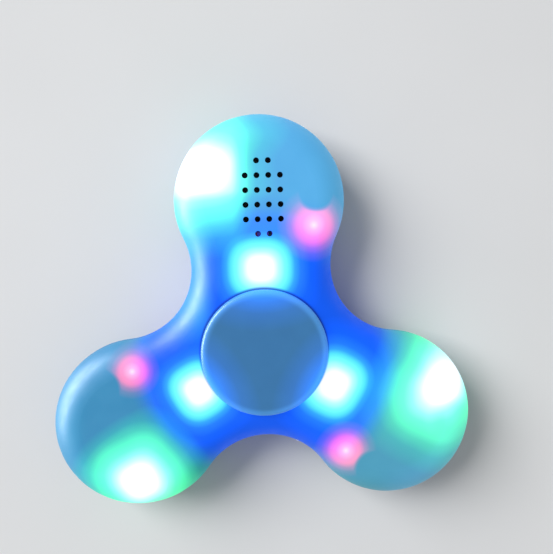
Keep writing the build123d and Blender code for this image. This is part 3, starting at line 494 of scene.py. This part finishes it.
LENS_LIGHT = {"blue": (0.05, 0.25, 1.0), "green": (0.1, 1.0, 0.45), "red": (1.0, 0.12, 0.2)}
BOARD_LIGHT = {"blue": (0.01, 0.0, 0.42), "green": (0.0, 0.1, 0.03), "red": (0.1, 0.0, 0.01)}
BOARD_REACH = 14.0  # how far a lamp lights the board round it
BOARD_GREEN = (0.02, 0.16, 0.06)
WEAVE_PITCH = 0.5  # of the glass cloth in the board
LENS_STRENGTH = 2.0


def lens_look(colour):
    """A lit lamp's resin, a little cloudy."""
    light = LENS_LIGHT[colour]
    material, tree, shader, where = new_look(f"lens_{colour}_lit", light, 0.15)
    cell = noise(tree, where, 2.0)
    paler = tuple(min(1.0, c + 0.35) for c in light)
    palest = tuple(min(1.0, c + 0.5) for c in light)
    tree.links.new(mix(tree, cell, light, paler), shader.inputs["Base Color"])
    emit(tree, shader, mix(tree, cell, light, palest), LENS_STRENGTH)
    return material


def board_look():
    """Green solder mask over woven glass, lit by the lamps on it."""
    material, tree, shader, where = new_look("board_green_mask", BOARD_GREEN, 0.3)
    light = None
    for arm in ARMS:
        x, y = arm_coordinates(tree, where, arm)
        for colour, tint in BOARD_LIGHT.items():
            away = flat_distance(tree, x, y, lamp_place(colour, arm))
            near = span(tree, away, 0.5, BOARD_REACH, 1.0, 0.0, smooth=True)
            part = vector(tree, "SCALE", tint, None, None, near)
            light = part if light is None else vector(tree, "ADD", light, part)
    emit(tree, shader, light)
    threads = []
    for value in parts_of(tree, where)[:2]:
        threads.append(math(tree, "SINE", math(tree, "MULTIPLY", value, 2 * pi / WEAVE_PITCH)))
    weave = math(tree, "MULTIPLY", *threads)
    shade = math(tree, "ADD", noise(tree, where, 0.7), math(tree, "MULTIPLY", weave, 0.15))
    mask = mix(tree, shade, (0.012, 0.115, 0.045), (0.026, 0.18, 0.07))
    tree.links.new(mask, shader.inputs["Base Color"])
    wear(tree, shader, where, 0.3, 0.06, 1.5)
    bump(tree, shader, weave, 0.004)
    return material


RING_NODES = ("bearing_inner_ring", "bearing_outer_ring")
BALL_NODES = tuple(f"bearing_ball_{n}" for n in range(1, 8))
SHIELD_NODES = ("bearing_shield_top", "bearing_shield_bottom")
LAMP_NODES = tuple(f"lamp_{colour}_{arm}" for colour in ("blue", "red", "green") for arm in ARMS)
RED_LEADS = ("speaker_lead_red", "battery_lead_red")
BLACK_LEADS = ("speaker_lead_black", "battery_lead_black")
CHIP_NODES = ("sound_chip", "amplifier_chip", "charger_chip")

paint(shell_look(), "shell_top", "shell_bottom")
paint(cap_look(), "finger_cap_top", "finger_cap_bottom")
paint(plain_plastic("button_plastic_moulded", (0.05, 0.2, 0.42), 0.35), "button_cap")
paint(metal("ring_steel_ground", (0.66, 0.67, 0.69), 0.22, (0.2, 0.2, 6.0)), *RING_NODES)
paint(metal("ball_steel_polished", (0.72, 0.73, 0.75), 0.1, scale=9.0, depth=0.001), *BALL_NODES)
paint(metal("shield_steel_pressed", (0.58, 0.59, 0.61), 0.32), *SHIELD_NODES)
paint(plain_plastic("cage_nylon_moulded", (0.72, 0.68, 0.58), 0.45), "bearing_cage")
paint(metal("screw_steel_zinc", (0.55, 0.56, 0.58), 0.35, scale=3.0), "case_screws")
paint(board_look(), "circuit_board")
paint(plain_plastic("lamp_white_resin", (0.8, 0.79, 0.74), 0.4), *LAMP_NODES)
for lens in LENS_LIGHT:
    paint(lens_look(lens), f"lamp_lenses_{lens}")
paint(plain_plastic("speaker_black_plastic", (0.02, 0.02, 0.022), 0.4), "speaker_frame")
paint(metal("magnet_nickel", (0.62, 0.6, 0.56), 0.25), "speaker_magnet")
paint(metal("iron_nickel_plated", (0.5, 0.5, 0.5), 0.3), "speaker_yoke", "speaker_pole_plate")
paint(metal("coil_copper_wire", (0.72, 0.32, 0.14), 0.3, (0.1, 0.1, 12.0)), "voice_coil")
paint(plain_plastic("cone_grey_film", (0.09, 0.09, 0.1), 0.35), "speaker_diaphragm")
paint(plain_plastic("surround_black_rubber", (0.015, 0.015, 0.015), 0.6), "speaker_surround")
paint(plain_plastic("foam_black_open", (0.018, 0.018, 0.02), 0.9, 9.0, 0.08), "speaker_gasket")
paint(plain_plastic("mesh_black_cloth", (0.012, 0.012, 0.014), 0.8, 9.0, 0.05), "grille_mesh")
paint(metal("pouch_aluminium_foil", (0.68, 0.69, 0.71), 0.3, scale=0.8, depth=0.06), "battery_cell")
paint(plain_plastic("tape_white_foam", (0.62, 0.62, 0.6), 0.9, 8.0, 0.05), "battery_tape")
paint(plain_plastic("lead_red_insulation", (0.45, 0.02, 0.015), 0.35), *RED_LEADS)
paint(plain_plastic("lead_black_insulation", (0.012, 0.012, 0.013), 0.35), *BLACK_LEADS)
paint(metal("socket_tin_plating", (0.7, 0.7, 0.71), 0.24, (0.4, 0.4, 3.0)), "socket_can")
paint(plain_plastic("socket_black_plastic", (0.016, 0.016, 0.018), 0.45), "socket_tongue")
paint(metal("contact_gold_plating", (0.95, 0.68, 0.28), 0.2), "socket_contacts")
paint(plain_plastic("chip_black_resin", (0.014, 0.014, 0.015), 0.55, 8.0, 0.02), *CHIP_NODES)
paint(metal("crystal_steel_can", (0.72, 0.72, 0.73), 0.2), "crystal")
paint(plain_plastic("antenna_white_ceramic", (0.66, 0.67, 0.7), 0.35), "antenna")
paint(plain_plastic("resistor_black_ceramic", (0.03, 0.03, 0.032), 0.4), "resistors")
paint(plain_plastic("capacitor_tan_ceramic", (0.36, 0.24, 0.13), 0.45), "capacitors")
paint(plain_plastic("switch_black_plastic", (0.02, 0.02, 0.02), 0.45), "switch_body")
paint(plain_plastic("plunger_grey_plastic", (0.2, 0.2, 0.21), 0.4), "switch_plunger")
paint(metal("dome_steel_sprung", (0.7, 0.7, 0.71), 0.18), "switch_dome")


# ------------------------------------------------------------------ detail pieces
def arm_point(arm, x, y, z):
    """A point across and along an arm, as a point in the row frame."""
    across, along = arm_axes(arm)
    return across * x + along * y + Vector((0, 0, z))


def box_mm(name):
    """The low and high corners of a CAD node's box, in millimetres."""
    return tuple(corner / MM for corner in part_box(name))


def piece(name, points, faces, material, body):
    """A mesh from points in millimetres, riding on a body, with the given material in its slot."""
    mesh = bpy.data.meshes.new(name)
    mesh.from_pydata([tuple(MM * c for c in point) for point in points], [], faces)
    mesh.validate()
    turned = bmesh.new()
    turned.from_mesh(mesh)
    bmesh.ops.recalc_face_normals(turned, faces=turned.faces)
    turned.to_mesh(mesh)
    turned.free()
    mesh.materials.append(material)
    made = bpy.data.objects.new(name, mesh)
    bpy.context.scene.collection.objects.link(made)
    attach(made, body)
    return made


def smooth(made, angle=40.0):
    """Smooth shading except over sharp edges."""
    made.data.shade_smooth()
    made.data.set_sharp_from_angle(angle=radians(angle))


def wall(faces, here, there, sides):
    """Adds the quads between two rings of points, which start at here and there."""
    for step in range(sides):
        following = (step + 1) % sides
        faces.append((here + step, here + following, there + following, there + step))


def tube(points, faces, route, radius, sides):
    """Adds a round wire along a route to points and faces."""
    first = len(points)
    last = len(route) - 1
    for n, centre in enumerate(route):
        way = (route[min(n + 1, last)] - route[max(n - 1, 0)]).normalized()
        side = way.cross(Vector((0, 0, 1)))
        side = side.normalized() if side.length > 1e-6 else Vector((1, 0, 0))
        up = side.cross(way)
        for step in range(sides):
            turn = 2 * pi * step / sides
            points.append(centre + radius * (cos(turn) * side + sin(turn) * up))
    for n in range(last):
        wall(faces, first + n * sides, first + (n + 1) * sides, sides)
    faces.append(tuple(range(first + sides - 1, first - 1, -1)))
    faces.append(tuple(range(first + last * sides, first + (last + 1) * sides)))


def mound(points, faces, centre, size, across, profile, sides=14):
    """Adds a closed round lump of size (radius across, radius along, height).

    The profile is (share of the radius, share of the height) from the rim up.
    """
    along = Vector((-across.y, across.x, 0))
    first = len(points)
    last = len(profile) - 1
    for share, rise in profile:
        level = Vector((0, 0, size[2] * rise))
        for step in range(sides):
            turn = 2 * pi * step / sides
            spoke = size[0] * cos(turn) * across + size[1] * sin(turn) * along
            points.append(centre + share * spoke + level)
    for n in range(last):
        wall(faces, first + n * sides, first + (n + 1) * sides, sides)
    faces.append(tuple(range(first + sides - 1, first - 1, -1)))
    faces.append(tuple(first + last * sides + step for step in range(sides)))


def strip_along(points, faces, route, width, bottom, top):
    """Adds a flat ribbon with square ends along a level route."""
    first = len(points)
    last = len(route) - 1
    for n, centre in enumerate(route):
        way = (route[min(n + 1, last)] - route[max(n - 1, 0)]).normalized()
        side = Vector((-way.y, way.x, 0)) * width / 2
        for edge, level in ((side, bottom), (side, top), (-side, top), (-side, bottom)):
            points.append(Vector((centre.x + edge.x, centre.y + edge.y, level)))
    for n in range(last):
        wall(faces, first + 4 * n, first + 4 * (n + 1), 4)
    faces.append((first + 3, first + 2, first + 1, first))
    faces.append(tuple(range(first + 4 * last, first + 4 * last + 4)))


def chamfered_box(points, faces, centre, size, across, edge):
    """Adds an upright box with its upright edges and top edge cut back."""
    along = Vector((-across.y, across.x, 0))
    first = len(points)
    half_x, half_y = size[0] / 2, size[1] / 2
    for inset, level in ((0.0, 0.0), (0.0, size[2] - edge), (edge, size[2])):
        x, y = half_x - inset, half_y - inset
        for px, py in ((x - edge, y), (edge - x, y), (-x, y - edge), (-x, edge - y),
                       (edge - x, -y), (x - edge, -y), (x, edge - y), (x, y - edge)):
            points.append(centre + across * px + along * py + Vector((0, 0, level)))
    for n in range(2):
        wall(faces, first + 8 * n, first + 8 * (n + 1), 8)
    faces.append(tuple(range(first + 7, first - 1, -1)))
    faces.append(tuple(range(first + 16, first + 24)))


CORNER_STEPS = 6  # of a quarter turn


def rounded_loop(middle, half, corner, skin=0.0):
    """Points round a rectangle with round corners, a skin's thickness outside it."""
    loop = []
    for quarter, (side, end) in enumerate(((1, 1), (-1, 1), (-1, -1), (1, -1))):
        for step in range(CORNER_STEPS + 1):
            turn = pi / 2 * (quarter + step / CORNER_STEPS)
            loop.append((middle[0] + side * (half[0] - corner) + (corner + skin) * cos(turn),
                         middle[1] + end * (half[1] - corner) + (corner + skin) * sin(turn)))
    return loop


# woven dust cloth behind the grille
THREAD_PITCH = 0.3
THREAD_FILL = 0.96  # share of the room between two threads' middles that they take up
cloth_low, cloth_high = box_mm("grille_mesh")
cloth_middle = (cloth_low.z + cloth_high.z) / 2
thread_radius = (cloth_high.z - cloth_low.z) / 4
counts = []
for axis in (0, 1):
    room = cloth_high[axis] - cloth_low[axis] - 2 * thread_radius
    counts.append(int(room / THREAD_PITCH))
points, faces = [], []
for axis in (0, 1):
    other = 1 - axis
    for thread in range(counts[other] + 1):
        route = []
        for step in range(2 * counts[axis] + 1):
            place = Vector((0, 0, cloth_middle))
            place[axis] = cloth_low[axis] + thread_radius + step * THREAD_PITCH / 2
            place[other] = cloth_low[other] + thread_radius + thread * THREAD_PITCH
            side = 1 if (thread + axis) % 2 else -1
            place.z += side * thread_radius * cos(pi * step / 2)
            route.append(place)
        tube(points, faces, route, THREAD_FILL * thread_radius, 5)
cloth_look = plain_plastic("cloth_black_thread", (0.014, 0.014, 0.016), 0.75, 12.0, 0.01)
cloth = piece("dust_cloth", points, faces, cloth_look, "rotor")
smooth(cloth, 60.0)
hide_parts("grille_mesh")

# solder at the lamps' feet, the leads' ends and the charging socket's tabs
BOARD_TOP = 7.0  # height of the circuit board's upper face
SOLDER = ((1.0, 0.0), (0.86, 0.14), (0.66, 0.36), (0.5, 0.62), (0.34, 0.86), (0.16, 0.97))
FOOT_REACH = (1.95, 0.75)  # from a lamp's middle to its feet
FOOT_SOLDER = (0.42, 0.36, 0.75)
LEAD_END = 0.42  # from a lead's end to the middle of its solder
LEAD_SOLDER = (0.8, 0.8, 0.55)
TAB_REACH, TAB_ROWS = 4.05, (-1.5, 0.9)  # the charging socket's tabs, from its middle
TAB_SOLDER = (0.5, 0.6, 0.5)
solder_look = metal("solder_tin", (0.72, 0.72, 0.71), 0.2, scale=2.0, depth=0.01)
points, faces = [], []
for arm in ARMS:
    across = arm_axes(arm)[0]
    for colour in LENS_LIGHT:
        x, y = lamp_place(colour, arm)
        for dx in (-FOOT_REACH[0], FOOT_REACH[0]):
            for dy in (-FOOT_REACH[1], FOOT_REACH[1]):
                foot = arm_point(arm, x + dx, y + dy, BOARD_TOP)
                mound(points, faces, foot, FOOT_SOLDER, across, SOLDER)
for name in ("speaker_lead_red", "speaker_lead_black", "battery_lead_red", "battery_lead_black"):
    arm = name.split("_")[0]
    low, high = box_mm(name)
    across, along = arm_axes(arm)
    ends = [Vector((x, y, 0)) for x in (low.x, high.x) for y in (low.y, high.y)]
    outward = 1 if arm == "battery" else -1
    far = max(outward * end.dot(along) for end in ends)
    middle = (low + high) / 2
    foot = arm_point(arm, middle.dot(across), outward * (far - LEAD_END), BOARD_TOP)
    mound(points, faces, foot, LEAD_SOLDER, across, SOLDER)
can_low, can_high = box_mm("socket_can")
can_middle = (can_low + can_high) / 2
can_across, can_along = arm_axes("socket")
can_x, can_y = can_middle.dot(can_across), can_middle.dot(can_along)
for dx in (-TAB_REACH, TAB_REACH):
    for dy in TAB_ROWS:
        foot = arm_point("socket", can_x + dx, can_y + dy, BOARD_TOP)
        mound(points, faces, foot, TAB_SOLDER, can_across, SOLDER)
smooth(piece("solder_joints", points, faces, solder_look, "rotor"))

# copper under the board's green mask, and bare gold test pads
TRACK_BOTTOM, TRACK_TOP = BOARD_TOP - 0.02, BOARD_TOP + 0.04
RING_TRACKS = (13.5, 14.1, 14.7)  # radii round the bearing
RING_TRACK_WIDTH, ARM_TRACK_WIDTH = 0.28, 0.3
RING_STEPS = 120
TRACK_SHARES = (0.0, 0.12, 0.5, 0.88)  # of each straight run, so that a bend keeps to its corner
track_look = plain_plastic("board_track_mask", (0.03, 0.24, 0.09), 0.28, 6.0, 0.004)
points, faces = [], []
for radius in RING_TRACKS:
    route = []
    for n in range(RING_STEPS - 1):
        turn = 2 * pi * n / RING_STEPS
        route.append(Vector((radius * cos(turn), radius * sin(turn), 0)))
    strip_along(points, faces, route, RING_TRACK_WIDTH, TRACK_BOTTOM, TRACK_TOP)
ARM_TRACKS = (
    ((-2.6, 17.2), (-4.2, 18.8), (-4.2, 20.0), (-8.6, 24.4), (-8.6, 28.6)),
    ((2.6, 17.2), (5.0, 19.6), (6.2, 20.8), (7.0, 22.4)),
    ((8.6, 24.9), (7.4, 26.1), (7.4, 35.0), (5.2, 37.2), (-3.4, 37.2), (-6.4, 34.4)),
    ((-11.6, 32.2), (-12.8, 31.0), (-12.8, 24.6), (-10.6, 22.4), (-10.6, 19.6)),
    ((-8.4, 34.9), (-8.4, 37.4), (-6.6, 39.2), (5.2, 39.2)),
)
for arm in ARMS:
    for track in ARM_TRACKS:
        route = []
        for (x0, y0), (x1, y1) in zip(track, track[1:]):
            for share in TRACK_SHARES:
                route.append(arm_point(arm, x0 + share * (x1 - x0), y0 + share * (y1 - y0), 0))
        route.append(arm_point(arm, *track[-1], 0))
        strip_along(points, faces, route, ARM_TRACK_WIDTH, TRACK_BOTTOM, TRACK_TOP)
smooth(piece("board_tracks", points, faces, track_look, "rotor"), 30.0)

PAD = ((1.0, 0.0), (1.0, 0.8), (0.94, 1.0))
PAD_SIZE = (0.45, 0.45, 0.07)
PAD_PLACES = (
    (-3.6, 17.6), (-6.8, 22.6), (-10.6, 19.4), (5.2, 39.2), (-8.6, 28.8), (-2.0, 40.6), (2.0, 40.6),
)
points, faces = [], []
for arm in ("speaker", "battery"):
    for x, y in PAD_PLACES:
        mound(points, faces, arm_point(arm, x, y, TRACK_BOTTOM), PAD_SIZE, arm_axes(arm)[0], PAD, 20)
pad_look = metal("pad_gold_flash", (0.9, 0.66, 0.3), 0.28, scale=3.0)
smooth(piece("test_pads", points, faces, pad_look, "rotor"), 30.0)

# tinned ends of the resistors and capacitors
RESISTOR_PLACES = ((3.6, 16.6), (7.2, 20.4), (-9.5, 30.2))
CAPACITOR_PLACES = ((-3.2, 21.2), (0.2, 21.2), (3.6, 21.2), (6.2, 26.6), (7.0, 36.6), (-1.0, 36.6))
RESISTOR_HEIGHT, CAPACITOR_HEIGHT = 0.45, 0.8
END_REACH = 0.66  # from a part's middle to the middle of its tinned end
END_SIZE = (0.32, 0.84)
END_SKIN = 0.02
parts = [(arm, place, RESISTOR_HEIGHT) for arm in ARMS for place in RESISTOR_PLACES]
parts += [("socket", place, CAPACITOR_HEIGHT) for place in CAPACITOR_PLACES]
points, faces = [], []
for arm, (x, y), height in parts:
    for dx in (-END_REACH, END_REACH):
        foot = arm_point(arm, x + dx, y, BOARD_TOP)
        chamfered_box(points, faces, foot, (*END_SIZE, height + END_SKIN), arm_axes(arm)[0], 0.03)
smooth(piece("part_ends", points, faces, solder_look, "rotor"), 30.0)

# amber tape round the lead end of the battery pouch, in two layers joined at their ends
CELL_HALF_WIDTH = 5.5
CELL_LEVELS = (7.3, 11.3)
BAND_SKIN = 0.03
BAND_CORNER = 0.62
BAND_ROWS = (35.6, 36.2, 36.9, 37.5)
BAND_INNER = 0.994  # size of the inner layer beside the outer one
BAND_INNER_RISE = 0.012
BAND_RAG = 0.06  # unevenness of its cut edges
cell_middle = (0.0, sum(CELL_LEVELS) / 2)
cell_half = (CELL_HALF_WIDTH, (CELL_LEVELS[1] - CELL_LEVELS[0]) / 2)
outer = rounded_loop(cell_middle, cell_half, BAND_CORNER, BAND_SKIN)
inner = []
for x, z in outer:
    inner.append((x * BAND_INNER, CELL_LEVELS[0] + (z - CELL_LEVELS[0]) * BAND_INNER + BAND_INNER_RISE))
points, faces = [], []
for shape in (outer, inner):
    for y in BAND_ROWS:
        for n, (x, z) in enumerate(shape):
            ragged = BAND_RAG * sin(2.3 * n) if y in (BAND_ROWS[0], BAND_ROWS[-1]) else 0.0
            points.append(arm_point("battery", x, y + ragged, z))
rows, count = len(BAND_ROWS), len(outer)
for layer in (0, 1):
    for row in range(rows - 1):
        here = (layer * rows + row) * count
        wall(faces, here, here + count, count)
for row in (0, rows - 1):
    wall(faces, row * count, (rows + row) * count, count)
tape_look = plain_plastic("tape_amber_film", (0.5, 0.2, 0.02), 0.2, 2.0, 0.02)
smooth(piece("battery_band", points, faces, tape_look, "rotor"), 50.0)

# turns of wire on the voice coil
WIRE_RADIUS = 0.055
COIL_CORNER = 0.8
COIL_INSET = 0.03
coil_low, coil_high = box_mm("voice_coil")
coil_half = [(coil_high[axis] - coil_low[axis]) / 2 - COIL_INSET for axis in (0, 1)]
loop = rounded_loop((coil_low + coil_high) / 2, coil_half, COIL_CORNER)
turns = int((coil_high.z - coil_low.z) / (2 * WIRE_RADIUS)) - 1
route = []
for n in range(turns * len(loop)):
    level = coil_low.z + WIRE_RADIUS + 2 * WIRE_RADIUS * n / len(loop)
    route.append(Vector((*loop[n % len(loop)], level)))
points, faces = [], []
tube(points, faces, route, WIRE_RADIUS, 6)
wire_look = metal("coil_wire_enamel", (0.78, 0.34, 0.15), 0.22, scale=2.0)
smooth(piece("coil_turns", points, faces, wire_look, "speaker_cone"), 60.0)

# snap disc of the power switch, which the plunger presses flat
DISC = ((0.36, 0.0), (0.5, 0.1), (0.68, 0.33), (0.86, 0.58), (1.0, 0.71),
        (1.0, 1.0), (0.86, 0.87), (0.68, 0.62), (0.5, 0.39), (0.36, 0.29))
disc_low, disc_high = box_mm("switch_dome")
disc_foot = Vector(((disc_low.x + disc_high.x) / 2, (disc_low.y + disc_high.y) / 2, disc_low.z))
disc_span = disc_high - disc_low
points, faces = [], []
disc_size = (disc_span.x / 2, disc_span.y / 2, disc_span.z)
mound(points, faces, disc_foot, disc_size, Vector((1, 0, 0)), DISC, 40)
disc_look = metal("disc_steel_sprung", (0.7, 0.7, 0.71), 0.18)
disc = piece("snap_disc", points, faces, disc_look, "rotor")
smooth(disc, 50.0)
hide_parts("switch_dome")
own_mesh(disc)

# rolled threads on the case screws
SHANK_RADIUS = 1.0
THREAD_REACH = (4.4, 11.5)  # heights
SCREW_PITCH = 0.8
THREAD_STEPS = 28  # of a turn
CREST_RADIUS = 0.17
count = int((THREAD_REACH[1] - THREAD_REACH[0]) / SCREW_PITCH * THREAD_STEPS)
points, faces = [], []
for arm in ARMS:
    centre = arm_point(arm, *POST, 0)
    route = []
    for n in range(count):
        turn = 2 * pi * n / THREAD_STEPS
        level = THREAD_REACH[0] + SCREW_PITCH * n / THREAD_STEPS
        route.append(centre + Vector((SHANK_RADIUS * cos(turn), SHANK_RADIUS * sin(turn), level)))
    tube(points, faces, route, CREST_RADIUS, 4)
thread_look = metal("screw_thread_zinc", (0.6, 0.6, 0.62), 0.3, scale=3.0)
smooth(piece("screw_threads", points, faces, thread_look, "rotor"), 30.0)

# fleck of moulding flash on the parting line, between the battery's and the socket's lobes
# its outline, as (place along the edge, reach out of the edge)
FLECK = ((-0.62, 0.05), (-0.4, 0.24), (-0.16, 0.2), (0.02, 0.34), (0.2, 0.26), (0.42, 0.3), (0.6, 0.05))
FLECK_PLACE = (13.62, 15.2)  # across and along the socket's arm
FLECK_REACH = 1.3  # how much further than its outline says it reaches out
FLECK_ROOT = 0.3  # how far it goes into the edge
FLECK_HALF = 0.05  # half of its thickness
points, faces = [], []
for level in (MIDDLE - FLECK_HALF, MIDDLE + FLECK_HALF):
    for along_edge, out in FLECK:
        x = FLECK_PLACE[0] + FLECK_REACH * out
        points.append(arm_point("socket", x, FLECK_PLACE[1] + along_edge, level))
    for along_edge, out in reversed(FLECK):
        x = FLECK_PLACE[0] - FLECK_ROOT
        points.append(arm_point("socket", x, FLECK_PLACE[1] + along_edge, level))
ring = 2 * len(FLECK)
wall(faces, 0, ring, ring)
for n in range(len(FLECK) - 1):
    for start in (0, ring):
        faces.append((start + n, start + n + 1, start + ring - 2 - n, start + ring - 1 - n))
fleck_look = plain_plastic("flash_pale_plastic", (0.82, 0.84, 0.92), 0.4)
fleck_shader = fleck_look.node_tree.nodes["Principled BSDF"]
# the body's light in its edge
fleck_shader.inputs["Emission Color"].default_value = (0.5, 0.46, 0.62, 1.0)
fleck_shader.inputs["Emission Strength"].default_value = 1.0
piece("flash_fleck", points, faces, fleck_look, "rotor")


# ------------------------------------------------------------------ floor, lights, camera
def floor_look():
    """Plain pale paper, without a shine that would glare at low angles."""
    material, tree, shader, where = new_look("floor_pale", (0.7, 0.7, 0.71), 0.8, Specular_IOR_Level=0.0)
    tint = span(tree, noise(tree, where, 0.02), *NOISE_SPAN)
    paper = mix(tree, tint, (0.70, 0.703, 0.708), (0.725, 0.728, 0.733))
    tree.links.new(paper, shader.inputs["Base Color"])
    bump(tree, shader, noise(tree, where, 1.2, 4.0), 0.01)
    return material


# the floor, the lights and the camera's clipping are in metres
FLOOR_RINGS = (0.06, 0.12, 0.25, 0.5, 1.0, 2.0, 3.0)
FLOOR_SIDES = 96
sheet = bmesh.new()
last = [sheet.verts.new((0.0, 0.0, 0.0))]
for radius in FLOOR_RINGS:
    ring = []
    for n in range(FLOOR_SIDES):
        turn = 2 * pi * n / FLOOR_SIDES
        ring.append(sheet.verts.new((radius * cos(turn), radius * sin(turn), 0.0)))
    for n in range(FLOOR_SIDES):
        following = (n + 1) % FLOOR_SIDES
        if len(last) == 1:
            sheet.faces.new((last[0], ring[n], ring[following]))
        else:
            sheet.faces.new((last[n], ring[n], ring[following], last[following]))
    last = ring
floor_mesh = bpy.data.meshes.new("floor")
sheet.to_mesh(floor_mesh)
sheet.free()
floor_mesh.materials.append(floor_look())
floor = bpy.data.objects.new("floor", floor_mesh)
bpy.context.scene.collection.objects.link(floor)


def softbox(name, place, aim, width, height, power, colour=(1.0, 1.0, 1.0)):
    """A soft rectangular light, turned to face aim."""
    data = bpy.data.lights.new(name, "AREA")
    data.shape = "RECTANGLE"
    data.size = width
    data.size_y = height
    data.energy = power
    data.color = colour
    lamp = bpy.data.objects.new(name, data)
    lamp.location = place
    lamp.rotation_euler = (Vector(aim) - Vector(place)).to_track_quat("-Z", "Y").to_euler()
    bpy.context.scene.collection.objects.link(lamp)
    return lamp


key = softbox("softbox_key", (-1.2, 0.8, 1.1), (0, 0, 0), 1.1, 1.1, 38.0)
key.visible_glossy = False
COOL_WHITE = (0.88, 0.96, 1.0)
strip = softbox("softbox_strip", (-0.52, 0.15, 0.05), (0, 0, 0.01), 0.6, 0.24, 24.0, COOL_WHITE)
strip.visible_diffuse = False

world = bpy.data.worlds.new("studio")
world.use_nodes = True
background = world.node_tree.nodes["Background"]
background.inputs["Color"].default_value = (0.86, 0.88, 0.9, 1.0)
background.inputs["Strength"].default_value = 0.4
bpy.context.scene.world = world
bpy.context.scene.view_settings.view_transform = "Standard"

CAMERA_TILT = (0.0993196, 0.0607321, 0.0245972)  # radians about x, y and z
CAMERA_AWAY = Vector((2.639, 13.6, 129.59))  # from the middle of the body, in its own axes
SENSOR_WIDTH = 36.0
FOCAL_LENGTH = 42.238267
camera_data = bpy.data.cameras.new("camera")
camera_data.sensor_width = SENSOR_WIDTH
camera_data.lens = FOCAL_LENGTH
camera_data.clip_start = 0.005
camera_data.clip_end = 50.0
camera = bpy.data.objects.new("camera", camera_data)
turn = (
    Matrix.Rotation(CAMERA_TILT[0], 3, "X")
    @ Matrix.Rotation(CAMERA_TILT[1], 3, "Y")
    @ Matrix.Rotation(CAMERA_TILT[2], 3, "Z")
).transposed()
camera_place = (turn @ CAMERA_AWAY + Vector((0, 0, MIDDLE))) * MM
camera.matrix_world = Matrix.Translation(camera_place) @ turn.to_4x4()
bpy.context.scene.collection.objects.link(camera)
bpy.context.scene.camera = camera
